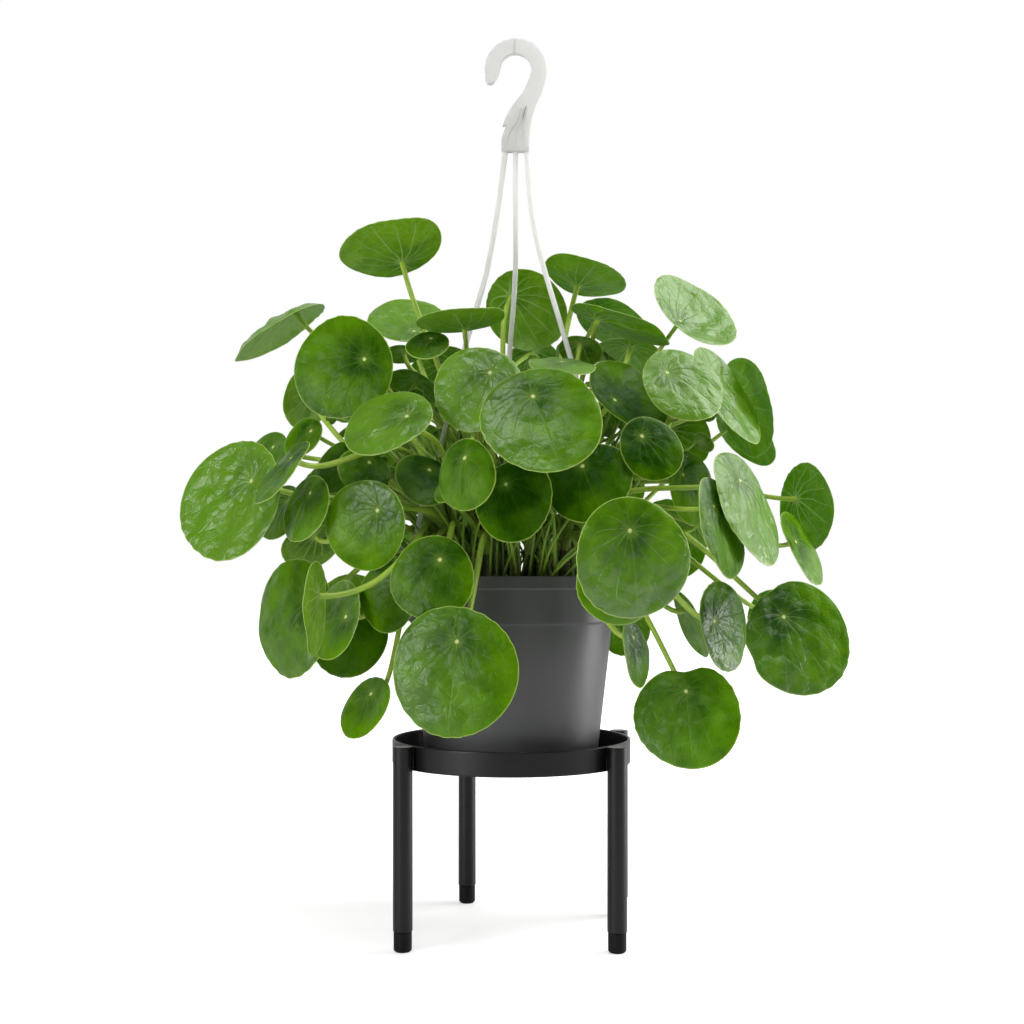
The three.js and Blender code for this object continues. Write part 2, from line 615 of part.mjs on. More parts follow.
// the room round a petiole's middle line: to the pot, the blades, the strands, the stems and the other petioles
function petioleRoom(line, own, blades, lines) {
  let room = 9;
  for (const p of line) {
    if (p.z < 269) {
      const r = Math.hypot(p.x, p.y);
      room = Math.min(room, Math.max(r - potWall(p.z) + 1.5, p.z > 256 ? 77 - r : -9));
    }
  }
  if (room < 0) return room;
  for (const other of blades) {
    if (nearestPoint(line, [other.centre]) > other.radius + 8) continue;
    const heights = heightsOver(other, line, 3.5);
    if (other === own) {
      heights.forEach((h, i) => {
        if (h !== null && line[i].distanceTo(own.hub) > 9) room = Math.min(room, -h);
      });
    } else {
      if (crosses(heights)) return -1;
      for (const h of heights) if (h !== null) room = Math.min(room, Math.abs(h));
    }
    if (room < 0) return room;
  }
  for (const strand of strandLines) room = Math.min(room, nearestPoint(line, strand) - 1.5);
  for (const { name, axis } of stemAxes) {
    if (name !== own.stem) room = Math.min(room, nearestPoint(line, axis) - 4);
  }
  if (room < plant.petioleGap * 0.3) return room;
  for (const other of lines) {
    const skip = other.stem === own.stem ? 12 : 0;
    const theirs = other.line.slice(skip);
    for (const p of line.slice(skip)) room = Math.min(room, distanceToLine(p, theirs) - 1.1);
  }
  return room;
}

// the first bend with enough room, or else the roomiest
function routePetioles(blades) {
  const tries = petioleTries();
  const lines = [];
  for (const blade of blades) {
    let best = { room: -Infinity };
    for (const choice of tries) {
      const curve = petioleCurve(blade, choice);
      const line = curve.getPoints(39);
      const room = petioleRoom(line, blade, blades, lines);
      if (room > best.room) best = { room, curve, line, stem: blade.stem };
      if (room >= plant.petioleGap) break;
    }
    lines.push(best);
  }
  return lines;
}

// leafy stems

function rimSides(radius) {
  if (radius > 39) return 16;
  return radius > 24 ? 12 : 10;
}

// a thin waved blade: hub, ring and rim, split alike on both faces
function bladeSolid(blade) {
  const rimCount = rimSides(blade.radius);
  const rings = bladeRings(blade, [[0.5, rimCount / 2], [1, rimCount]], true);
  const top = [onBlade(blade, -plant.hubOffset, 0), ...rings.flat()];
  const size = top.length;
  const points = [...top, ...top.map((p) => p.clone().addScaledVector(blade.normal, -plant.bladeThickness))];
  const half = rimCount / 2;
  const upper = [];
  for (let i = 0; i < half; i += 1) {
    const here = 1 + i;
    const next = 1 + (i + 1) % half;
    const rim = (k) => 1 + half + (k + rimCount) % rimCount;
    upper.push([0, here, next], [here, rim(2 * i), rim(2 * i + 1)], [here, rim(2 * i + 1), next],
      [next, rim(2 * i + 1), rim(2 * i + 2)]);
  }
  const faces = [...upper, ...upper.map(([a, b, c]) => [a + size, c + size, b + size])];
  for (let i = 0; i < rimCount; i += 1) {
    const a = 1 + half + i;
    const b = 1 + half + (i + 1) % rimCount;
    faces.push([a, a + size, b + size], [a, b + size, b]);
  }
  return facetSolid(points, faces);
}

function stemSolid([x, y, height]) {
  const r = plant.stemRadius;
  const top = plant.soilTop + height;
  const thin = r * plant.stemTopRatio;
  const trunk = turned([
    [0, soil.holeFloor + clearance], [r, soil.holeFloor + clearance], [r, plant.soilTop + 4],
    [thin, top - 2], [thin * 0.55, top], [0, top],
  ], plant.stemSides);
  return toSolid(trunk.translate(x, y, 0));
}

function petioleSolid({ curve, line }) {
  const length = line.reduce((sum, p, i) => (i ? sum + p.distanceTo(line[i - 1]) : 0), 0);
  const steps = Math.min(5, Math.max(3, Math.round(length / plant.petioleStep)));
  return rod(curve.getPoints(steps), plant.petioleBase, plant.petioleTip, plant.petioleSides);
}

function addPlant() {
  const blades = placeBlades();
  const petioles = routePetioles(blades);
  for (const [name, stem] of Object.entries(stems)) {
    const solid = blades.reduce((sum, blade, i) => (blade.stem === name
      ? sum.add(petioleSolid(petioles[i])).add(bladeSolid(blade)) : sum), stemSolid(stem));
    // the outer shell alone, so that pockets shut in between petioles are filled
    const shell = solid.decompose().reduce((a, b) => (b.volume() > a.volume() ? b : a));
    addPiece(`leafy_stem_${name}`, toGeometry(shell), 0x4c7a24, 0.4);
  }
}

addStand();
addPiece('pot', makePot(), 0x3a3b3e, 0.5);
addPiece('soil', toGeometry(makeSoil()), 0x1c130c, 0.95);
addHanger();
addPlant();

export default group;
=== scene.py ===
# A potted pilea in its charcoal hanging pot, standing on a low black plant stand.
# Blender works in metres; the sizes and the leaf layout below are in millimetres.
import math

import bmesh
import bpy
import numpy as np
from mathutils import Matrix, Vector
from mathutils.geometry import tessellate_polygon


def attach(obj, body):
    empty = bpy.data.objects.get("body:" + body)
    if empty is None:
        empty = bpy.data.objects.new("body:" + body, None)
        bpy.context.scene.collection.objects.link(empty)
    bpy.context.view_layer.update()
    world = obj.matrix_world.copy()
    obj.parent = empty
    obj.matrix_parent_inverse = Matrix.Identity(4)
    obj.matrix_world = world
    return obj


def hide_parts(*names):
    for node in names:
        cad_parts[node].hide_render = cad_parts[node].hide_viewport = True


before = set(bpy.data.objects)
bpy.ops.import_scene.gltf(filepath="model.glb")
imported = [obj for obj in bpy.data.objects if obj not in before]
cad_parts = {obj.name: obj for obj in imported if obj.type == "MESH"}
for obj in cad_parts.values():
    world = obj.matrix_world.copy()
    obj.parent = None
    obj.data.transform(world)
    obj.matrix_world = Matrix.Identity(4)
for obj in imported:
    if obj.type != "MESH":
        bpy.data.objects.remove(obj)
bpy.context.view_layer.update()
mm = 0.001


# an sRGB hex colour as linear light
def linear(code):
    parts = [int(code[i:i + 2], 16) / 255 for i in (1, 3, 5)]
    return [c / 12.92 if c <= 0.04045 else ((c + 0.055) / 1.055) ** 2.4 for c in parts] + [1]


# a node with its settings; an input is a number, a colour or the socket that feeds it
def addNode(tree, kind, settings=None, inputs=None):
    node = tree.nodes.new(kind)
    for key, value in (settings or {}).items():
        setattr(node, key, value)
    for key, value in (inputs or {}).items():
        if isinstance(value, bpy.types.NodeSocket):
            tree.links.new(value, node.inputs[key])
        else:
            node.inputs[key].default_value = value
    return node


def newFinish(name):
    finish = bpy.data.materials.new(name)
    finish.use_nodes = True
    return finish, finish.node_tree, finish.node_tree.nodes["Principled BSDF"]


# faces come in groups: an array of corner numbers, one row for each face
def makeMesh(name, points, faceGroups, finishes, slots=None, values=None):
    mesh = bpy.data.meshes.new(name)
    points = np.asarray(points, float) * mm
    groups = [np.asarray(g, int) for g in faceGroups if len(g)]
    corners = np.concatenate([g.ravel() for g in groups])
    sizes = np.concatenate([np.full(len(g), g.shape[1]) for g in groups])
    mesh.vertices.add(len(points))
    mesh.vertices.foreach_set("co", points.ravel())
    mesh.loops.add(len(corners))
    mesh.loops.foreach_set("vertex_index", corners)
    mesh.polygons.add(len(sizes))
    mesh.polygons.foreach_set("loop_start", np.concatenate([[0], np.cumsum(sizes)[:-1]]))
    for finish in finishes:
        mesh.materials.append(finish)
    if slots is not None:
        mesh.polygons.foreach_set("material_index", np.asarray(slots, int))
    mesh.polygons.foreach_set("use_smooth", np.ones(len(sizes), bool))
    for key, data in (values or {}).items():
        data = np.asarray(data, float)
        kind = "FLOAT_VECTOR" if data.ndim == 2 else "FLOAT"
        layer = mesh.attributes.new(key, kind, "POINT")
        layer.data.foreach_set("vector" if data.ndim == 2 else "value", data.ravel())
    mesh.update(calc_edges=True)
    mesh.validate()
    # every face is turned to look outward
    whole = bmesh.new()
    whole.from_mesh(mesh)
    bmesh.ops.recalc_face_normals(whole, faces=whole.faces)
    whole.to_mesh(mesh)
    whole.free()
    return mesh


# puts a finished mesh in the scene in the place of its CAD node
def setPiece(name, mesh, node):
    piece = bpy.data.objects.new(name, mesh)
    bpy.context.scene.collection.objects.link(piece)
    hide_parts(node)
    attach(piece, "root")
    return piece


# several meshes as one
def joined(name, meshes):
    objects = [bpy.data.objects.new(name, mesh) for mesh in meshes]
    for each in objects:
        bpy.context.scene.collection.objects.link(each)
    with bpy.context.temp_override(active_object=objects[0], selected_editable_objects=objects,
                                   selected_objects=objects, object=objects[0]):
        bpy.ops.object.join()
    mesh = objects[0].data
    bpy.data.objects.remove(objects[0])
    mesh.name = name
    return mesh


# corner points with each inner corner rounded over reach, and a holding point beside each rounding
def rounded(corners, reach, steps=4, loop=False):
    p = [np.array(c, float) for c in corners]
    trios = (list(zip(p[-1:] + p[:-1], p, p[1:] + p[:1])) if loop else list(zip(p, p[1:], p[2:])))
    out = [] if loop else [p[0]]
    for before, here, after in trios:
        back, on = before - here, after - here
        lenBack, lenOn = math.hypot(*back), math.hypot(*on)
        if lenBack < 1e-6 or lenOn < 1e-6:
            out.append(here)
            continue
        cut = min(reach, lenBack * 0.4, lenOn * 0.4)
        a, b = here + back * (cut / lenBack), here + on * (cut / lenOn)
        out.append(here + back * (min(cut * 1.8, lenBack * 0.48) / lenBack))
        for k in range(steps + 1):
            t = k / steps
            out.append((1 - t) ** 2 * a + 2 * t * (1 - t) * here + t * t * b)
        out.append(here + on * (min(cut * 1.8, lenOn * 0.48) / lenOn))
    return out if loop else out + [p[-1]]


# a turned piece from its [radius, height] profile; points on the axis close it with a pole
def turned(profile, sides, centre=(0, 0), loop=False):
    points, rings, quads, tris = [], [], [], []
    turn = np.arange(sides) * 2 * math.pi / sides
    for r, z in profile:
        start = len(points)
        if r < 1e-6:
            points.append((centre[0], centre[1], z))
            rings.append(np.full(sides, start))
        else:
            points += [(centre[0] + r * c, centre[1] + r * s, z)
                       for c, s in zip(np.cos(turn), np.sin(turn))]
            rings.append(start + np.arange(sides))
    if loop:
        rings.append(rings[0])
    for low, high in zip(rings, rings[1:]):
        a, b, c, d = low, np.roll(low, -1), np.roll(high, -1), high
        if low[0] == low[1] and high[0] == high[1]:
            continue
        if low[0] == low[1]:
            tris.append(np.stack([a, c, d], 1))
        elif high[0] == high[1]:
            tris.append(np.stack([a, b, c], 1))
        else:
            quads.append(np.stack([a, b, c, d], 1))
    groups = [np.concatenate(quads)] if quads else []
    return np.array(points), groups + ([np.concatenate(tris)] if tris else [])


# an even curve through given points
def smoothRoute(route, count):
    p = np.array(route, float)
    last = len(p) - 1
    out = []
    for i in range(count + 1):
        t = i / count * last
        k = min(int(t), last - 1)
        f = t - k
        a, b = p[k], p[k + 1]
        before = p[k - 1] if k > 0 else 2 * a - b
        after = p[k + 2] if k + 2 <= last else 2 * b - a
        out.append(0.5 * (2 * a + (b - before) * f + (2 * before - 5 * a + 4 * b - after) * f * f
                          + (3 * a - before - 3 * b + after) * f ** 3))
    return np.array(out)


# a geometry tree with its named inputs: the sizes, and the finish that it gives
def startTree(name, sizes):
    tree = bpy.data.node_groups.new(name, "GeometryNodeTree")
    tree.interface.new_socket("Geometry", in_out="INPUT", socket_type="NodeSocketGeometry")
    for size, kind in {**sizes, "Finish": "Material"}.items():
        tree.interface.new_socket(size, in_out="INPUT", socket_type="NodeSocket" + kind)
    tree.interface.new_socket("Geometry", in_out="OUTPUT", socket_type="NodeSocketGeometry")
    return tree, addNode(tree, "NodeGroupInput").outputs


def endTree(tree, geometry, finish):
    real = addNode(tree, "GeometryNodeRealizeInstances", None, {"Geometry": geometry})
    done = addNode(tree, "GeometryNodeSetMaterial", None, {"Geometry": real.outputs[0], "Material": finish})
    addNode(tree, "NodeGroupOutput", None, {0: done.outputs[0]})
    return tree


# grows a round stalk or rod along every curve it is given
def stalkTree():
    tree, given = startTree("stalkOnCurve", {
        "First Radius": "Float", "Last Radius": "Float", "Foot Swell": "Float", "Tip Swell": "Float",
        "Spacing": "Float", "Sides": "Int"})
    even = addNode(tree, "GeometryNodeResampleCurve", {"mode": "LENGTH"},
                   {"Curve": given["Geometry"], "Length": given["Spacing"]})
    along = addNode(tree, "GeometryNodeSplineParameter").outputs["Factor"]
    marked = addNode(tree, "GeometryNodeStoreNamedAttribute", {"data_type": "FLOAT", "domain": "POINT"},
                     {"Geometry": even.outputs[0], "Name": "alongStalk", "Value": along})
    taper = addNode(tree, "ShaderNodeMapRange", None,
                    {"Value": along, "To Min": given["First Radius"], "To Max": given["Last Radius"]})
    foot = addNode(tree, "ShaderNodeMapRange", {"interpolation_type": "SMOOTHSTEP"},
                   {"Value": along, "From Max": 0.14, "To Min": given["Foot Swell"], "To Max": 0.0})
    tip = addNode(tree, "ShaderNodeMapRange", {"interpolation_type": "SMOOTHSTEP"},
                  {"Value": along, "From Min": 0.95, "To Min": 0.0, "To Max": given["Tip Swell"]})
    own = addNode(tree, "GeometryNodeInputRadius").outputs[0]
    swell = addNode(tree, "ShaderNodeMath", {"operation": "ADD"}, {0: foot.outputs[0], 1: tip.outputs[0]})
    more = addNode(tree, "ShaderNodeMath", {"operation": "ADD"}, {0: swell.outputs[0], 1: 1.0})
    size = addNode(tree, "ShaderNodeMath", {"operation": "MULTIPLY"},
                   {0: more.outputs[0], 1: taper.outputs[0]})
    width = addNode(tree, "ShaderNodeMath", {"operation": "MULTIPLY"}, {0: size.outputs[0], 1: own})
    ring = addNode(tree, "GeometryNodeCurvePrimitiveCircle", None,
                   {"Resolution": given["Sides"], "Radius": 1.0})
    tube = addNode(tree, "GeometryNodeCurveToMesh", None,
                   {"Curve": marked.outputs[0], "Profile Curve": ring.outputs[0], "Scale": width.outputs[0],
                    "Fill Caps": True})
    soft = addNode(tree, "GeometryNodeSetShadeSmooth", None, {"Geometry": tube.outputs[0]})
    return endTree(tree, soft.outputs[0], given["Finish"])


# what a tree makes of its carrier, as a plain mesh
def grown(name, carrier, tree, sizes):
    maker = carrier.modifiers.new("grow", "NODES")
    maker.node_group = tree
    for item in tree.interface.items_tree:
        if item.in_out == "INPUT" and item.name in sizes:
            maker[item.identifier] = sizes[item.name]
    bpy.context.scene.collection.objects.link(carrier)
    view = carrier.evaluated_get(bpy.context.evaluated_depsgraph_get())
    mesh = bpy.data.meshes.new_from_object(view)
    mesh.name = name
    bpy.data.objects.remove(carrier)
    return mesh


# lines of points in mm as one curve object; each line may have its own relative thickness
def curveCarrier(lines, thickness=None):
    curve = bpy.data.curves.new("line", "CURVE")
    curve.dimensions = "3D"
    for number, line in enumerate(lines):
        spline = curve.splines.new("POLY")
        spline.points.add(len(line) - 1)
        place = np.column_stack([np.asarray(line) * mm, np.ones(len(line))])
        spline.points.foreach_set("co", place.ravel())
        spline.points.foreach_set("radius", np.full(len(line), thickness[number] if thickness else 1.0))
    return bpy.data.objects.new("line", curve)


stalkMaker = stalkTree()


# Injection-moulded polypropylene with a fine eroded mould texture: satin charcoal, soft wide highlights.
def mouldedPolypropylene():
    finish, tree, shader = newFinish("mouldedPolypropylene")
    place = addNode(tree, "ShaderNodeTexCoord").outputs["Object"]
    flow = addNode(tree, "ShaderNodeMapping", None, {"Vector": place, "Scale": (1.0, 1.0, 0.25)})
    cloud = addNode(tree, "ShaderNodeTexNoise", None,
                    {"Vector": flow.outputs[0], "Scale": 26.0, "Detail": 3.0})
    shade = addNode(tree, "ShaderNodeMix", {"data_type": "RGBA"},
                    {0: cloud.outputs["Fac"], 6: linear("#474749"), 7: linear("#525254")})
    tree.links.new(shade.outputs[2], shader.inputs["Base Color"])
    satin = addNode(tree, "ShaderNodeMapRange", None,
                    {"Value": cloud.outputs["Fac"], "To Min": 0.36, "To Max": 0.46})
    tree.links.new(satin.outputs[0], shader.inputs["Roughness"])
    shader.inputs["IOR"].default_value = 1.49
    # the real texture is 0.1 mm; 1.2 mm is the finest that shows
    grain = addNode(tree, "ShaderNodeTexNoise", None, {"Vector": place, "Scale": 1 / 0.0012, "Detail": 2.0})
    relief = addNode(tree, "ShaderNodeBump", None,
                     {"Height": grain.outputs["Fac"], "Distance": 0.00006, "Strength": 0.6})
    tree.links.new(relief.outputs[0], shader.inputs["Normal"])
    return finish


# Powder-coated steel: near black, satin, with the slight orange peel of a baked powder.
def powderCoatedSteel():
    finish, tree, shader = newFinish("powderCoatedSteel")
    place = addNode(tree, "ShaderNodeTexCoord").outputs["Object"]
    cloud = addNode(tree, "ShaderNodeTexNoise", None, {"Vector": place, "Scale": 18.0, "Detail": 3.0})
    shade = addNode(tree, "ShaderNodeMix", {"data_type": "RGBA"},
                    {0: cloud.outputs["Fac"], 6: linear("#09090a"), 7: linear("#0f0f10")})
    tree.links.new(shade.outputs[2], shader.inputs["Base Color"])
    satin = addNode(tree, "ShaderNodeMapRange", None,
                    {"Value": cloud.outputs["Fac"], "To Min": 0.34, "To Max": 0.44})
    tree.links.new(satin.outputs[0], shader.inputs["Roughness"])
    shader.inputs["IOR"].default_value = 1.5
    shader.inputs["Specular IOR Level"].default_value = 0.38    # a dull binder
    peel = addNode(tree, "ShaderNodeTexNoise", None, {"Vector": place, "Scale": 1 / 0.0018, "Detail": 1.0})
    relief = addNode(tree, "ShaderNodeBump", None,
                     {"Height": peel.outputs["Fac"], "Distance": 0.00008, "Strength": 0.7})
    tree.links.new(relief.outputs[0], shader.inputs["Normal"])
    return finish


# Moulded thermoplastic rubber feet: dull black with a little dust in the grain.
def mouldedRubber():
    finish, tree, shader = newFinish("mouldedRubber")
    place = addNode(tree, "ShaderNodeTexCoord").outputs["Object"]
    dust = addNode(tree, "ShaderNodeTexNoise", None, {"Vector": place, "Scale": 1 / 0.003, "Detail": 3.0})
    shade = addNode(tree, "ShaderNodeMix", {"data_type": "RGBA"},
                    {0: dust.outputs["Fac"], 6: linear("#070708"), 7: linear("#101011")})
    tree.links.new(shade.outputs[2], shader.inputs["Base Color"])
    shader.inputs["Roughness"].default_value = 0.62
    shader.inputs["Specular IOR Level"].default_value = 0.2
    relief = addNode(tree, "ShaderNodeBump", None,
                     {"Height": dust.outputs["Fac"], "Distance": 0.0001, "Strength": 0.5})
    tree.links.new(relief.outputs[0], shader.inputs["Normal"])
    return finish


# Natural polypropylene, injection-moulded: milky white and satin, lets some light through, faint flow marks.
def milkyPolypropylene(name, darkTone, paleTone):
    finish, tree, shader = newFinish(name)
    place = addNode(tree, "ShaderNodeTexCoord").outputs["Object"]
    flow = addNode(tree, "ShaderNodeMapping", None, {"Vector": place, "Scale": (1.0, 1.0, 0.35)})
    cloud = addNode(tree, "ShaderNodeTexNoise", None,
                    {"Vector": flow.outputs[0], "Scale": 160.0, "Detail": 3.0, "Distortion": 0.6})
    shade = addNode(tree, "ShaderNodeMix", {"data_type": "RGBA"},
                    {0: cloud.outputs["Fac"], 6: linear(darkTone), 7: linear(paleTone)})
    tree.links.new(shade.outputs[2], shader.inputs["Base Color"])
    shader.inputs["Roughness"].default_value = 0.34
    shader.inputs["IOR"].default_value = 1.49
    relief = addNode(tree, "ShaderNodeBump", None,
                     {"Height": cloud.outputs["Fac"], "Distance": 0.0003, "Strength": 0.5})
    tree.links.new(relief.outputs[0], shader.inputs["Normal"])
    passed = addNode(tree, "ShaderNodeBsdfTranslucent", None, {"Color": shade.outputs[2]})
    both = addNode(tree, "ShaderNodeMixShader", None, {0: 0.5, 1: shader.outputs[0], 2: passed.outputs[0]})
    tree.links.new(both.outputs[0], tree.nodes["Material Output"].inputs["Surface"])
    return finish


# Peat-based potting mix: dark brown crumbs, rough, nearly no shine.
def pottingMix(name, darkTone, paleTone, roughness):
    finish, tree, shader = newFinish(name)
    place = addNode(tree, "ShaderNodeTexCoord").outputs["Object"]
    clod = addNode(tree, "ShaderNodeTexNoise", None,
                   {"Vector": place, "Scale": 1 / 0.004, "Detail": 4.0, "Roughness": 0.7})
    shade = addNode(tree, "ShaderNodeMix", {"data_type": "RGBA"},
                    {0: clod.outputs["Fac"], 6: linear(darkTone), 7: linear(paleTone)})
    tree.links.new(shade.outputs[2], shader.inputs["Base Color"])
    shader.inputs["Roughness"].default_value = roughness
    shader.inputs["Specular IOR Level"].default_value = 0.3
    relief = addNode(tree, "ShaderNodeBump", None, {"Height": clod.outputs["Fac"], "Distance": 0.0012})
    tree.links.new(relief.outputs[0], shader.inputs["Normal"])
    return finish


# Green stalk: smooth skin over watery tissue, pale yellow-green, darker and browner at its foot.
def juicyStalk(name, darkTone, paleTone, footTone):
    finish, tree, shader = newFinish(name)
    place = addNode(tree, "ShaderNodeTexCoord").outputs["Object"]
    along = addNode(tree, "ShaderNodeAttribute", {"attribute_name": "alongStalk"}).outputs["Fac"]
    patch = addNode(tree, "ShaderNodeTexNoise", None, {"Vector": place, "Scale": 45.0, "Detail": 2.0})
    green = addNode(tree, "ShaderNodeMix", {"data_type": "RGBA"},
                    {0: patch.outputs["Fac"], 6: linear(darkTone), 7: linear(paleTone)})
    foot = addNode(tree, "ShaderNodeMapRange", {"interpolation_type": "SMOOTHSTEP"},
                   {"Value": along, "From Min": 0.0, "From Max": 0.55, "To Min": 0.9, "To Max": 0.0})
    shade = addNode(tree, "ShaderNodeMix", {"data_type": "RGBA"},
                    {0: foot.outputs[0], 6: green.outputs[2], 7: linear(footTone)})
    tree.links.new(shade.outputs[2], shader.inputs["Base Color"])
    shader.inputs["Roughness"].default_value = 0.36
    shader.inputs["IOR"].default_value = 1.43
    shader.inputs["Subsurface Weight"].default_value = 0.25
    shader.inputs["Subsurface Radius"].default_value = (0.6, 1.0, 0.2)
    shader.inputs["Subsurface Scale"].default_value = 0.002
    skin = addNode(tree, "ShaderNodeTexNoise", None, {"Vector": place, "Scale": 1 / 0.0025, "Detail": 2.0})
    relief = addNode(tree, "ShaderNodeBump", None,
                     {"Height": skin.outputs["Fac"], "Distance": 0.0002, "Strength": 0.5})
    tree.links.new(relief.outputs[0], shader.inputs["Normal"])
    return finish


# The short old stems: corky skin, brown with some green left, ringed by leaf scars.
def corkyStem():
    finish, tree, shader = newFinish("corkyStem")
    place = addNode(tree, "ShaderNodeTexCoord").outputs["Object"]
    flat = addNode(tree, "ShaderNodeMapping", None, {"Vector": place, "Scale": (1.0, 1.0, 3.0)})
    scar = addNode(tree, "ShaderNodeTexNoise", None,
                   {"Vector": flat.outputs[0], "Scale": 1 / 0.009, "Detail": 4.0, "Roughness": 0.65})
    shade = addNode(tree, "ShaderNodeMix", {"data_type": "RGBA"},
                    {0: scar.outputs["Fac"], 6: linear("#2c1c10"), 7: linear("#56602a")})
    tree.links.new(shade.outputs[2], shader.inputs["Base Color"])
    shader.inputs["Roughness"].default_value = 0.7
    relief = addNode(tree, "ShaderNodeBump", None, {"Height": scar.outputs["Fac"], "Distance": 0.0012})
    tree.links.new(relief.outputs[0], shader.inputs["Normal"])
    return finish


# Leaf of a pilea: a leathery waxed skin, quilted between its veins, that gleams where the wax is whole.
# The blade carries its own measures: leafPlace (mm along the midrib and across, and a number for the leaf),
# veinReach and rimReach (mm to the nearest main vein and to the rim), leafTone (0 deep, 1 fresh green; on
# some leaves set as painted shade and painted light) and leafShine (how much wax it has kept, more of it
# towards one side).
leafLook = {
    "upper": {"deep": "#1d4301", "fresh": "#639303", "vein": "#86a83c", "rim": "#b4cc66", "hub": "#dce890",
              "glow": "#98cc10", "through": 0.26, "roughness": (0.3, 0.42), "quilt": 0.55, "groove": 0.3,
              "lineMix": 0.2, "veinWidth": 0.55, "netMix": 0.05},
    "under": {"deep": "#4c7808", "fresh": "#7eaa1c", "vein": "#bcd884", "rim": "#c0d880", "hub": "#c2d67c",
              "glow": "#86cf24", "through": 0.3, "roughness": (0.38, 0.5), "quilt": -0.2, "groove": -0.5,
              "lineMix": 0.85, "veinWidth": 0.95, "netMix": 0.16},
    "cell": 8.5, "rimWidth": 0.8, "hubSize": 1.9,
}


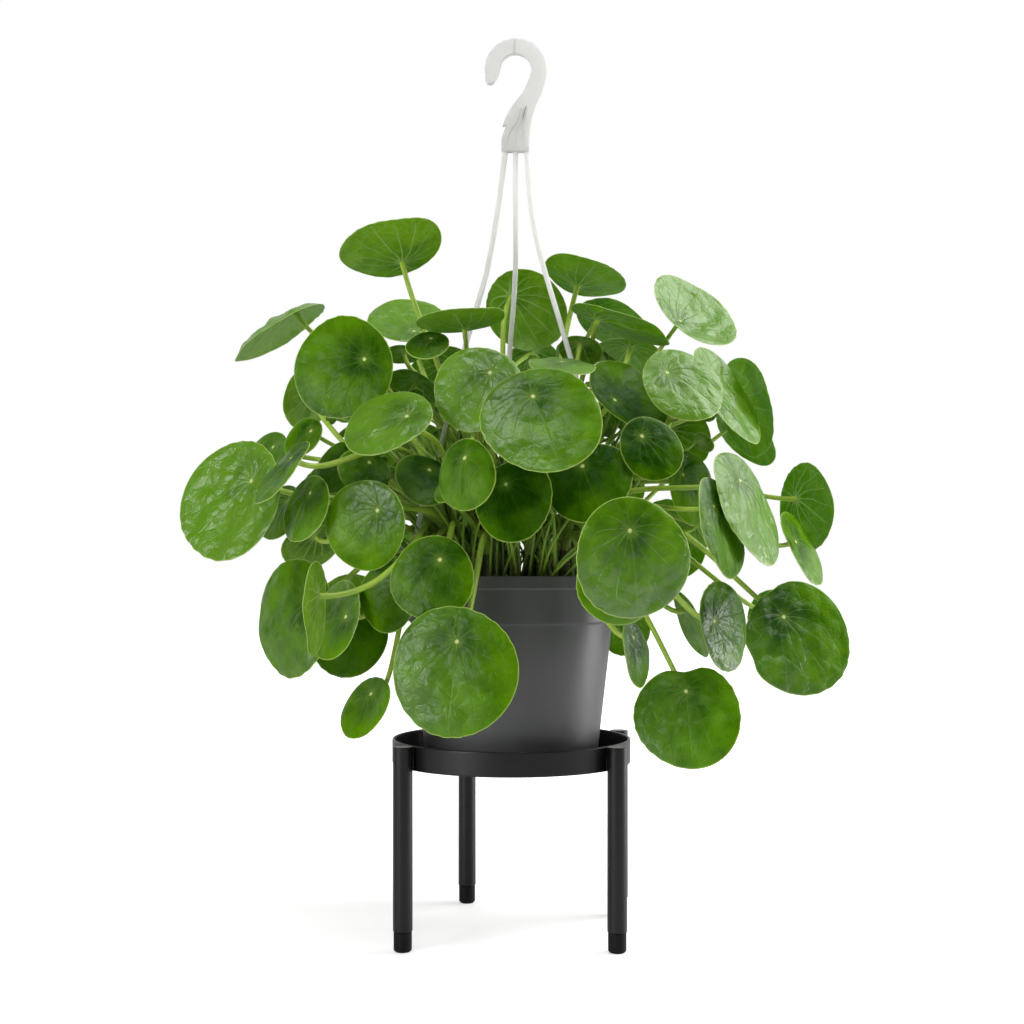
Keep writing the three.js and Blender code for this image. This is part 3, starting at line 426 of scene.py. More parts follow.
def waxedLeaf(name, look):
    finish, tree, shader = newFinish(name)
    place = addNode(tree, "ShaderNodeAttribute", {"attribute_name": "leafPlace"}).outputs["Vector"]
    veinReach = addNode(tree, "ShaderNodeAttribute", {"attribute_name": "veinReach"}).outputs["Fac"]
    rimReach = addNode(tree, "ShaderNodeAttribute", {"attribute_name": "rimReach"}).outputs["Fac"]
    leafTone = addNode(tree, "ShaderNodeAttribute", {"attribute_name": "leafTone"}).outputs["Fac"]
    leafShine = addNode(tree, "ShaderNodeAttribute", {"attribute_name": "leafShine"}).outputs["Fac"]
    axes = addNode(tree, "ShaderNodeSeparateXYZ", None, {0: place}).outputs
    flat = addNode(tree, "ShaderNodeCombineXYZ", None, {0: axes[0], 1: axes[1], 2: 0.0})
    hubReach = addNode(tree, "ShaderNodeVectorMath", {"operation": "LENGTH"},
                       {0: flat.outputs[0]}).outputs["Value"]

    # quilting: cells of about 8 mm with sunken borders, pulled out of true
    warp = addNode(tree, "ShaderNodeTexNoise", None, {"Vector": place, "Scale": 0.11, "Detail": 2.0})
    shift = addNode(tree, "ShaderNodeVectorMath", {"operation": "MULTIPLY_ADD"},
                    {0: warp.outputs["Color"], 1: (9.0, 9.0, 0.0), 2: place})
    cells = addNode(tree, "ShaderNodeTexVoronoi", {"feature": "SMOOTH_F1", "voronoi_dimensions": "3D"},
                    {"Vector": shift.outputs[0], "Scale": 1 / leafLook["cell"], "Smoothness": 0.5,
                     "Randomness": 0.9})
    border = addNode(tree, "ShaderNodeTexVoronoi",
                     {"feature": "DISTANCE_TO_EDGE", "voronoi_dimensions": "3D"},
                     {"Vector": shift.outputs[0], "Scale": 1 / leafLook["cell"], "Randomness": 0.9})
    net = addNode(tree, "ShaderNodeMapRange", {"interpolation_type": "SMOOTHSTEP"},
                  {"Value": border.outputs["Distance"], "From Max": 0.12, "To Min": 1.0, "To Max": 0.0})

    # main veins run from the hub and fade towards the rim; the midrib is the widest
    off = addNode(tree, "ShaderNodeMath", {"operation": "ABSOLUTE"}, {0: veinReach})
    vein = addNode(tree, "ShaderNodeMapRange", {"interpolation_type": "SMOOTHSTEP"},
                   {"Value": off.outputs[0], "From Max": look["veinWidth"], "To Min": 1.0, "To Max": 0.0})
    fade = addNode(tree, "ShaderNodeMapRange", {"interpolation_type": "SMOOTHSTEP"},
                   {"Value": rimReach, "From Min": 0.5, "From Max": 16.0, "To Min": 0.15, "To Max": 0.8})
    veins = addNode(tree, "ShaderNodeMath", {"operation": "MULTIPLY"},
                    {0: vein.outputs[0], 1: fade.outputs[0]})
    across = addNode(tree, "ShaderNodeMath", {"operation": "ABSOLUTE"}, {0: axes[1]})
    behind = addNode(tree, "ShaderNodeMath", {"operation": "MINIMUM"}, {0: axes[0], 1: 0.0})
    ribPlace = addNode(tree, "ShaderNodeCombineXYZ", None, {0: behind.outputs[0], 1: across.outputs[0]})
    ribReach = addNode(tree, "ShaderNodeVectorMath", {"operation": "LENGTH"}, {0: ribPlace.outputs[0]})
    rib = addNode(tree, "ShaderNodeMapRange", {"interpolation_type": "SMOOTHSTEP"},
                  {"Value": ribReach.outputs["Value"], "From Max": 1.0, "To Min": 1.0, "To Max": 0.0})
    ribs = addNode(tree, "ShaderNodeMath", {"operation": "MULTIPLY"},
                   {0: rib.outputs[0], 1: fade.outputs[0]})
    lines = addNode(tree, "ShaderNodeMath", {"operation": "MAXIMUM"},
                    {0: veins.outputs[0], 1: ribs.outputs[0]})

    # colour: painted shade round the hub, darker and fresher patches, then the net, the veins, the pale rim
    # and hub
    patch = addNode(tree, "ShaderNodeTexNoise", None, {"Vector": place, "Scale": 0.06, "Detail": 4.0})
    spread = addNode(tree, "ShaderNodeMapRange", None,
                     {"Value": patch.outputs["Fac"], "From Min": 0.3, "From Max": 0.7, "To Min": -0.3,
                      "To Max": 0.3})
    # painted shade: the green darkens towards the hub and lightens a little further out
    hubShadePaint = addNode(tree, "ShaderNodeMapRange", {"interpolation_type": "SMOOTHSTEP"},
                     {"Value": hubReach, "From Max": 32.0, "To Min": -0.4, "To Max": 0.15})
    uneven = addNode(tree, "ShaderNodeMath", {"operation": "ADD"},
                     {0: spread.outputs[0], 1: hubShadePaint.outputs[0]})
    tone = addNode(tree, "ShaderNodeMath", {"operation": "ADD", "use_clamp": True},
                   {0: uneven.outputs[0], 1: leafTone})
    skin = addNode(tree, "ShaderNodeMix", {"data_type": "RGBA"},
                   {0: tone.outputs[0], 6: linear(look["deep"]), 7: linear(look["fresh"])})
    netPart = addNode(tree, "ShaderNodeMath", {"operation": "MULTIPLY"},
                      {0: net.outputs[0], 1: look["netMix"]})
    netted = addNode(tree, "ShaderNodeMix", {"data_type": "RGBA"},
                     {0: netPart.outputs[0], 6: skin.outputs[2], 7: linear(look["vein"])})
    linePart = addNode(tree, "ShaderNodeMath", {"operation": "MULTIPLY"},
                       {0: lines.outputs[0], 1: look["lineMix"]})
    veined = addNode(tree, "ShaderNodeMix", {"data_type": "RGBA"},
                     {0: linePart.outputs[0], 6: netted.outputs[2], 7: linear(look["vein"])})
    rim = addNode(tree, "ShaderNodeMapRange", {"interpolation_type": "SMOOTHSTEP"},
                  {"Value": rimReach, "From Max": leafLook["rimWidth"], "To Min": 0.9, "To Max": 0.0})
    rimmed = addNode(tree, "ShaderNodeMix", {"data_type": "RGBA"},
                     {0: rim.outputs[0], 6: veined.outputs[2], 7: linear(look["rim"])})
    halo = addNode(tree, "ShaderNodeMapRange", {"interpolation_type": "SMOOTHSTEP"},
                   {"Value": hubReach, "From Min": leafLook["hubSize"], "From Max": 8.0, "To Min": 0.28,
                    "To Max": 0.0})
    glowing = addNode(tree, "ShaderNodeMix", {"data_type": "RGBA"},
                      {0: halo.outputs[0], 6: rimmed.outputs[2], 7: linear(look["vein"])})
    dot = addNode(tree, "ShaderNodeMapRange", {"interpolation_type": "SMOOTHSTEP"},
                  {"Value": hubReach, "From Min": 0.8, "From Max": leafLook["hubSize"], "To Min": 0.95,
                   "To Max": 0.0})
    colour = addNode(tree, "ShaderNodeMix", {"data_type": "RGBA"},
                     {0: dot.outputs[0], 6: glowing.outputs[2], 7: linear(look["hub"])})
    tree.links.new(colour.outputs[2], shader.inputs["Base Color"])
    smoothest, roughest = look["roughness"]
    wax = addNode(tree, "ShaderNodeMapRange", None,
                  {"Value": patch.outputs["Fac"], "To Min": smoothest, "To Max": roughest})
    tree.links.new(wax.outputs[0], shader.inputs["Roughness"])
    shader.inputs["IOR"].default_value = 1.45
    tree.links.new(leafShine, shader.inputs["Specular IOR Level"])

    # relief in mm: pillows between the net, sunken lines, a fine skin
    pillow = addNode(tree, "ShaderNodeMath", {"operation": "MULTIPLY"},
                     {0: cells.outputs["Distance"], 1: -look["quilt"] * 2})
    sunk = addNode(tree, "ShaderNodeMath", {"operation": "MULTIPLY_ADD"},
                   {0: lines.outputs[0], 1: -look["groove"], 2: pillow.outputs[0]})
    seams = addNode(tree, "ShaderNodeMath", {"operation": "MULTIPLY_ADD"},
                    {0: net.outputs[0], 1: -0.3 * look["groove"], 2: sunk.outputs[0]})
    pores = addNode(tree, "ShaderNodeTexNoise", None, {"Vector": place, "Scale": 0.7, "Detail": 3.0})
    height = addNode(tree, "ShaderNodeMath", {"operation": "MULTIPLY_ADD"},
                     {0: pores.outputs["Fac"], 1: 0.3, 2: seams.outputs[0]})
    relief = addNode(tree, "ShaderNodeBump", None, {"Height": height.outputs[0], "Distance": mm})
    tree.links.new(relief.outputs[0], shader.inputs["Normal"])

    # a thin blade also passes some of the light that falls on its other face
    passed = addNode(tree, "ShaderNodeBsdfTranslucent", None,
                     {"Color": linear(look["glow"]), "Normal": relief.outputs[0]})
    both = addNode(tree, "ShaderNodeMixShader", None,
                   {0: look["through"], 1: shader.outputs[0], 2: passed.outputs[0]})
    tree.links.new(both.outputs[0], tree.nodes["Material Output"].inputs["Surface"])
    return finish


potPlastic = mouldedPolypropylene()
coatedSteel = powderCoatedSteel()
footRubber = mouldedRubber()
hookPlastic = milkyPolypropylene("milkyPolypropylene", "#e4e4e2", "#f0f0ee")
strandPlastic = milkyPolypropylene("drawnPolypropylene", "#ececea", "#f6f6f4")
soilMix = pottingMix("pottingMix", "#150d07", "#33221a", 0.9)
soilCrumb = pottingMix("barkCrumb", "#1f140b", "#4a3424", 0.85)
perlite = pottingMix("perliteGrain", "#b9b5aa", "#dedbd2", 0.8)
stalkSkin = juicyStalk("juicyStalk", "#86ac30", "#b6ce54", "#667f24")
# painted shade: a darker copy of the stalk finish, for the young shoots deep in the crown
shadedShootSkin = juicyStalk("shadedStalk", "#5c801f", "#94b43e", "#38200c")
# painted shadow: a grey copy of the milky plastic, for the dark inside of the slit in the yoke
slitShadowPaint = milkyPolypropylene("paintedSlitShadow", "#a2a2a0", "#b4b4b2")
stemSkin = corkyStem()
leafUpper = waxedLeaf("waxedLeafUpper", leafLook["upper"])
leafUnder = waxedLeaf("waxedLeafUnder", leafLook["under"])
print("finishes ready")


# the stand; where each leg stands is in degrees, 0 at the front and 90 to the right
stand = {
    "trayRadius": 89, "trayTop": 145, "trayBottom": 127.4, "wall": 2, "rimRound": 0.8, "traySides": 160,
    "legRadius": 7, "legWall": 1.2, "legCap": 1.5, "legRound": 0.7, "legSides": 40,
    "footHeight": 14.3, "footRadius": 6.5, "footRound": 1.4, "spigotRadius": 5.3, "spigotHeight": 14,
    "padWidth": 8, "padMargin": 1.5, "softEdge": 0.5, "gap": 0.3,
    "legs": {"front_left": -53, "front_right": 51, "back_right": 119, "back_left": -158},
}


def makeTray():
    r, top, low, wall = (stand[k] for k in ("trayRadius", "trayTop", "trayBottom", "wall"))
    inner, floor = r - wall, low + wall
    profile = [(0, low), (r, low), (r, top), (inner, top), (inner, floor), (0, floor)]
    return turned(rounded(profile, stand["rimRound"]), stand["traySides"])


def makeLeg(place, angle):
    r, top, gap = stand["legRadius"], stand["trayTop"], stand["gap"]
    low, inner = stand["footHeight"] + gap, stand["legRadius"] - stand["legWall"]
    outside = rounded([(inner, low + 1), (inner, low), (r, low), (r, top), (0, top)], stand["legRound"])
    under = [(0, top - stand["legCap"]), (inner, top - stand["legCap"])]
    points, faces = turned(outside + under, stand["legSides"], centre=place, loop=True)
    # the weld pad that joins the leg to the tray's wall is curved to the tray
    near, far = stand["trayRadius"] + gap, math.hypot(*place) - r + 1
    half = stand["padWidth"] / 2
    high, deep = top - stand["padMargin"], stand["trayBottom"] + stand["padMargin"]
    start = len(points)
    pad, padFaces = [], []
    rows = rounded([(far, deep), (near, deep), (near, high), (far, high)], stand["softEdge"])
    steps = 9
    for k in range(steps):
        across = half * (2 * k / (steps - 1) - 1)
        for out, z in rows:
            x = math.sqrt(max(out * out - across * across, 0)) if out < far else out
            pad.append((x * math.sin(angle) + across * math.cos(angle),
                        -x * math.cos(angle) + across * math.sin(angle), z))
    n = len(rows)
    for k in range(steps - 1):
        for j in range(n):
            a, b = start + k * n + j, start + k * n + (j + 1) % n
            padFaces.append((a, a + n, b + n, b))
    ends = [tuple(t) for t in tessellate_polygon([[Vector((out, z, 0)) for out, z in rows]])]
    other = start + (steps - 1) * n
    caps = [tuple(start + c for c in t) for t in ends] + [tuple(other + c for c in t) for t in ends]
    return np.vstack([points, pad]), faces + [np.array(padFaces), np.array(caps)]


def makeFoot(place):
    r, h, soft, spigot = (stand[k] for k in ("footRadius", "footHeight", "footRound", "spigotRadius"))
    sole = rounded([(0, 0), (r - soft, 0), (r, soft), (r, h), (spigot, h)], stand["softEdge"])
    top = h + stand["spigotHeight"]
    return turned(sole + [(spigot, top), (0, top)], stand["legSides"], centre=place)


def addStand():
    points, faces = makeTray()
    setPiece("standTray", makeMesh("standTray", points, faces, [coatedSteel]), "tray")
    reach = stand["trayRadius"] + stand["legRadius"] + stand["gap"]
    for where, degrees in stand["legs"].items():
        angle = math.radians(degrees)
        place = (reach * math.sin(angle), -reach * math.cos(angle))
        points, faces = makeLeg(place, angle)
        setPiece("standLeg_" + where, makeMesh("standLeg", points, faces, [coatedSteel]),
                 "leg_" + where)
        points, faces = makeFoot(place)
        setPiece("standFoot_" + where, makeMesh("standFoot", points, faces, [footRubber]),
                 "foot_" + where)
    print("stand ready")


# the pot and its soil; crumbs and grains are so many to the square metre
pot = {
    "base": 129.7, "baseRadius": 64, "footRing": 1, "baseTop": 2.2, "wall": 2.2, "bodyTop": 231.5,
    "bodyTopRadius": 75.5, "collarBottomRadius": 77, "collarTop": 256.5, "collarTopRadius": 78.8,
    "lipTop": 266, "lipRadius": 80, "lipWall": 3.2, "lipRound": 0.8, "edgeRound": 0.9, "recess": 8,
    "sides": 192,
}
soil = {
    "gap": 0.3, "edge": 253.2, "crown": 255.6, "rough": 1.3, "rings": 36, "sides": 96, "seed": 11,
    "crumbsAbove": 252.5, "crumbs": 52000.0, "crumbSize": 1.25, "crumbSeed": 3,
    "grains": 3400.0, "grainSize": 1.1, "grainSeed": 5,
}


def addPot():
    base, wall, soft = pot["base"], pot["wall"], pot["lipRound"]
    floor = base + pot["footRing"] + pot["baseTop"]
    lipInner = pot["lipRadius"] - pot["lipWall"]
    profile = rounded([
        (0, base + pot["footRing"]), (pot["baseRadius"] - pot["recess"], base + pot["footRing"]),
        (pot["baseRadius"] - pot["recess"] + pot["footRing"], base), (pot["baseRadius"], base),
        (pot["bodyTopRadius"], pot["bodyTop"]), (pot["collarBottomRadius"], pot["bodyTop"] + soft),
        (pot["collarTopRadius"], pot["collarTop"]), (pot["lipRadius"], pot["collarTop"] + soft),
        (pot["lipRadius"], pot["lipTop"]), (lipInner, pot["lipTop"]), (lipInner, pot["collarTop"] - wall),
        (pot["bodyTopRadius"] - wall, pot["bodyTop"] - wall), (pot["baseRadius"] - wall, floor), (0, floor),
    ], pot["edgeRound"])
    points, faces = turned(profile, pot["sides"])
    setPiece("growingPot", makeMesh("growingPot", points, faces, [potPlastic]), "pot")
    print("pot ready")


# crumbs scattered over the top of the soil
def crumbTree():
    tree, given = startTree("crumbsOnSoil", {
        "Density": "Float", "Crumb Radius": "Float", "Lowest": "Float", "Seed": "Int"})
    place = addNode(tree, "GeometryNodeInputPosition").outputs[0]
    height = addNode(tree, "ShaderNodeSeparateXYZ", None, {0: place}).outputs["Z"]
    top = addNode(tree, "FunctionNodeCompare", {"data_type": "FLOAT", "operation": "GREATER_THAN"},
                  {0: height, 1: given["Lowest"]})
    spots = addNode(tree, "GeometryNodeDistributePointsOnFaces", None,
                    {"Mesh": given["Geometry"], "Selection": top.outputs[0], "Density": given["Density"],
                     "Seed": given["Seed"]})
    crumb = addNode(tree, "GeometryNodeMeshIcoSphere", None,
                    {"Radius": given["Crumb Radius"], "Subdivisions": 1})
    spin = addNode(tree, "FunctionNodeRandomValue", {"data_type": "FLOAT_VECTOR"},
                   {"Max": (6.3, 6.3, 6.3), "Seed": given["Seed"]})
    size = addNode(tree, "FunctionNodeRandomValue", {"data_type": "FLOAT_VECTOR"},
                   {"Min": (0.35, 0.35, 0.3), "Max": (1.5, 1.1, 0.9), "Seed": given["Seed"]})
    strewn = addNode(tree, "GeometryNodeInstanceOnPoints", None,
                     {"Points": spots.outputs["Points"], "Instance": crumb.outputs[0],
                      "Rotation": spin.outputs[0], "Scale": size.outputs[0]})
    return endTree(tree, strewn.outputs[0], given["Finish"])


def addSoil():
    gap = soil["gap"]
    floor = pot["base"] + pot["footRing"] + pot["baseTop"] + gap
    inset = pot["wall"] + 2 * gap
    low = pot["baseRadius"] + (pot["bodyTopRadius"] - pot["baseRadius"]) * (floor - pot["base"]) / (
        pot["bodyTop"] - pot["base"]) - inset
    edge = pot["collarTopRadius"] - inset - gap
    profile = [(0, floor), (low, floor), (pot["bodyTopRadius"] - inset, pot["bodyTop"] - pot["wall"]),
               (edge, soil["edge"] - 1)]
    for k in range(soil["rings"] + 1):
        f = 1 - k / soil["rings"]
        profile.append((edge * f, soil["crown"] + (soil["edge"] - soil["crown"]) * f * f))
    points, faces = turned(profile, soil["sides"])
    rough = np.random.default_rng(soil["seed"])
    top = (points[:, 2] > soil["edge"] - 0.5) & (np.hypot(points[:, 0], points[:, 1]) < edge - 1)
    points[top, 2] -= soil["rough"] * rough.random(top.sum())
    bed = makeMesh("soilBed", points, faces, [soilMix])
    meshes = [bed]
    strew = crumbTree()
    for finish, density, size, seed in ((soilCrumb, "crumbs", "crumbSize", "crumbSeed"),
                                        (perlite, "grains", "grainSize", "grainSeed")):
        carrier = bpy.data.objects.new("bed", bed.copy())
        meshes.append(grown("crumbs", carrier, strew, {
            "Density": soil[density], "Crumb Radius": soil[size] * mm, "Lowest": soil["crumbsAbove"] * mm,
            "Seed": soil[seed], "Finish": finish}))
    setPiece("pottingSoil", joined("pottingSoil", meshes), "soil")
    print("soil ready")


# the hanger: one moulding with its hook, neck and yoke, and three strands with their clips
hanger = {
    "ringX": 3.4, "ringZ": 645.3, "ringOuter": 23.3, "ringInner": 11.4, "yokeLeft": -7.4, "yokeRight": 13.7,
    "yokeBottom": 583.3, "thickness": 5.2, "edgeRound": 1.3, "cornerRound": 2.0, "ribRadius": 0.75,
    # degrees round the ring where the tip ends and its mouth starts and ends; the tip's place from the ring
    "tipAngle": 200, "mouthAngles": (158, -18), "tipOut": 1.6, "tipDrop": 11.2,
    # where each strand's root shows on the yoke, and how far it leans over
    "roots": ((-3.9, 0.6), (3.1, 3.0), (10.6, 5.6)), "rootRadius": 0.95,
    # where the painted shadow of the yoke's slit runs, and how thick it is
    "slit": [(11.2, 617.5), (9.4, 612), (8.8, 607), (9.4, 602.5)], "slitRadius": 0.45, "strandRadius": 2.0,
    "clipWidth": 9, "clipWall": 2.2, "clipDepth": 8, "clipLip": 5, "clipRound": 0.7, "gap": 0.3,
}
strandRoutes = {
    "left": [(-4.5, 0, 583), (-10.3, -1, 538), (-18.8, -5, 491), (-33, -12, 440), (-51, -18, 366),
             (-63, -22, 329), (-73.3, -26.5, 270)],
    "right": [(11.6, 0, 583), (14.8, -1, 543), (22.3, -5, 503), (42.7, -14, 431), (58, -18, 372),
              (69, -21, 318), (74.6, -22.8, 270)],
    "back": [(3.1, 0, 583), (3.4, 14, 515), (2, 34, 481), (-1, 50, 446), (-6, 65, 375), (-10.5, 74, 320),
             (-13, 77, 270)],
}


# points on a bow from a to b, without a
def bow(a, control, b, count=8):
    return [tuple((1 - t) ** 2 * np.array(a) + 2 * t * (1 - t) * np.array(control) + t * t * np.array(b))
            for t in np.linspace(0, 1, count + 1)[1:]]


def arc(x, z, radius, start, stop, count):
    return [(x + radius * math.cos(a), z + radius * math.sin(a)) for a in np.linspace(start, stop, count)]


# the hook's outline, up its right side, over the ring and down the left side of the neck
def hookOutline():
    h = hanger
    x, z, outer, inner = h["ringX"], h["ringZ"], h["ringOuter"], h["ringInner"]
    left, right, low = h["yokeLeft"], h["yokeRight"], h["yokeBottom"]
    tip = math.radians(h["tipAngle"])
    inside, inEnd = (math.radians(a) for a in h["mouthAngles"])
    tipX, tipZ = x - (outer + inner) / 2 - h["tipOut"], z - h["tipDrop"]
    soft = h["cornerRound"]
    line = [(right - soft, low)] + bow((right - soft, low), (right, low), (right, low + soft), 4)
    line.append((right, low + 10))
    line += bow(line[-1], (right + 0.2, low + 24), (right + 5, low + 36))
    line += bow(line[-1], (x + outer - 0.6, z - 12), (x + outer, z - 2))
    line += arc(x, z, outer, 0, tip - math.radians(10), 40)
    line += bow(line[-1], (tipX - 4.5, tipZ), (tipX, tipZ))
    line += bow(line[-1], (tipX + 5, tipZ), (x + inner * math.cos(inside), z + inner * math.sin(inside)))
    line += arc(x, z, inner, inside, inEnd, 30)[1:]
    line += bow(line[-1], (x + 8, z - 13), (x + 2.6, z - 20.5))
    line += bow(line[-1], (x - 4.5, z - 28.5), (x - 9, z - 39))
    line += [(x - 9.8, z - 42.5), (x - 7, z - 42)]
    line += bow(line[-1], (left, low + 12), (left, low + 8))
    line += [(left, low + soft)] + bow((left, low + soft), (left, low), (left + soft, low), 4)
    return np.array(line)


# a closed line drawn in by reach
def inward(line, reach):
    on = np.roll(line, -1, 0) - np.roll(line, 1, 0)
    on /= np.linalg.norm(on, axis=1)[:, None]
    return line + reach * np.column_stack([-on[:, 1], on[:, 0]])


# a flat moulding with rounded edges, lying in the XZ plane
def roundedPlate(outline, thickness, edge, steps=5):
    half = thickness / 2
    turns = [math.pi / 2 * k / steps for k in range(steps + 1)]
    rows = [(edge * (1 - math.cos(t)), half - edge + edge * math.sin(t)) for t in turns]
    rows.append((edge + 0.5, half))
    layers = [(inset, -out) for inset, out in reversed(rows)] + rows
    n = len(outline)
    points = np.vstack([np.column_stack([inward(outline, inset), np.full(n, y)])[:, [0, 2, 1]]
                        for inset, y in layers])
    quads = []
    for k in range(len(layers) - 1):
        for j in range(n):
            a, b = k * n + j, k * n + (j + 1) % n
            quads.append((a, b, b + n, a + n))
    last = (len(layers) - 1) * n
    front = [Vector((p[0], p[2], 0)) for p in points[:n]]
    caps = [tuple(t) for t in tessellate_polygon([front])]
    flipped = [tuple(last + c for c in reversed(t)) for t in caps]
    return points, [np.array(quads), np.array(caps + flipped)]


def rod(name, lines, radius, finish, sides=8, spacing=1.2):
    return grown(name, curveCarrier(lines), stalkMaker, {
        "First Radius": radius * mm, "Last Radius": radius * mm, "Foot Swell": 0.0, "Tip Swell": 0.0,
        "Spacing": spacing * mm, "Sides": sides, "Finish": finish})


# the snap clip: a hook-shaped section swept a little way round the rim
def makeClip(foot):
    h = hanger
    rimOuter = pot["lipRadius"] + h["gap"]
    rimInner = pot["lipRadius"] - pot["lipWall"] - h["gap"]
    saddle = pot["lipTop"] + h["gap"]
    outer, inner, top = rimOuter + h["clipWall"], rimInner - h["clipWall"], saddle + h["clipWall"]
    section = rounded([(rimOuter, saddle - h["clipLip"]), (outer, saddle - h["clipLip"]), (outer, top),
                       (inner, top), (inner, saddle - h["clipDepth"]), (rimInner, saddle - h["clipDepth"]),
                       (rimInner, saddle), (rimOuter, saddle)], h["clipRound"], loop=True)
    middle = math.atan2(foot[1], foot[0])
    spread = h["clipWidth"] / 2 / rimOuter
    steps, n = 8, len(section)
    points = []
    for k in range(steps):
        t = 2 * k / (steps - 1) - 1
        a = middle + spread * t
        points += [(r * math.cos(a), r * math.sin(a), z) for r, z in section]
    quads = [(k * n + j, (k + 1) * n + j, (k + 1) * n + (j + 1) % n, k * n + (j + 1) % n)
             for k in range(steps - 1) for j in range(n)]
    flat = [Vector((r, z, 0)) for r, z in section]
    caps = [tuple(t) for t in tessellate_polygon([flat])]
    far = [tuple((steps - 1) * n + c for c in reversed(t)) for t in caps]
    return np.array(points), [np.array(quads), np.array(caps + far)]


def addHanger():
    h = hanger
    outline = hookOutline()
    points, faces = roundedPlate(outline, h["thickness"], h["edgeRound"])
    meshes = [makeMesh("hookPlate", points, faces, [hookPlastic])]
    x, z = h["ringX"], h["ringZ"]
    for face in (-1, 1):
        y = face * (h["thickness"] / 2 - 0.5)
        roots = [[(px, y * 0.8, 583.6), (px * 0.8 + 1.2, y, 596), (x + side, y, 606),
                  (x + side + 3.2, y * 0.9, 616)]
                 for px, side in h["roots"]]
        rib = [(x - 1, y, z + r) for r in np.linspace(h["ringInner"] + 1, h["ringOuter"] - 1, 8)]
        meshes.append(rod("hookRib", [rib], h["ribRadius"], hookPlastic))
        meshes.append(rod("strandRoots", [smoothRoute(line, 18) for line in roots], h["rootRadius"],
                          hookPlastic))
        # a grey rod on each face paints the shadow in the slit between the strands' roots; the slit itself is
        # not cut
        slit = smoothRoute([(px, face * (h["thickness"] / 2 - 0.2), pz) for px, pz in h["slit"]], 12)
        meshes.append(rod("yokeSlitShadow", [slit], h["slitRadius"], slitShadowPaint))
    setPiece("hangerHook", joined("hangerHook", meshes), "hanger_hook")
    for where, route in strandRoutes.items():
        line = smoothRoute(route, 90)
        line[0][2] = h["yokeBottom"] + 0.2
        foot = line[-1]
        foot[2] = pot["lipTop"] + h["gap"] + h["clipWall"] / 2
        points, faces = makeClip(foot)
        strand = rod("strand", [line], h["strandRadius"], strandPlastic, sides=16, spacing=2.5)
        piece = joined("strand", [strand, makeMesh("clip", points, faces, [strandPlastic])])
        setPiece("hangerStrand_" + where, piece, "strand_" + where)
    print("hanger ready")


# how the leaves lie: each blade keeps its place in the front view and slides along it to the first free depth
layout = {
    "eyeDistance": 1050, "eyeHeight": 269, "hubOffset": 0.45, "soilTop": 255,
    "bladeGap": 4.0, "petioleGap": 3.7, "strandGap": 5, "seed": 7, "depthStretch": 1.3,
    # how far out the leaves keep from the rim, the pot's wall and the tray, and from which height up
    "rimFrom": 226, "rimReach": 80.5, "wallFrom": 150, "wallReach": 76.5, "trayReach": 105.0,
    "potTop": 269, "mouthFrom": 256, "mouthReach": 77,
}
# stem: x, y, height above the soil
stems = {
    "a": (-40, -34, 46), "b": (-16, -50, 42), "c": (12, -46, 44), "d": (38, -36, 46), "e": (-54, -2, 52),
    "f": (54, -8, 52), "g": (-20, 8, 80), "h": (20, 6, 80), "i": (0, 34, 74), "j": (46, 26, 60),
    "k": (-44, 32, 60), "l": (-18, 56, 50), "m": (22, 56, 50),
}

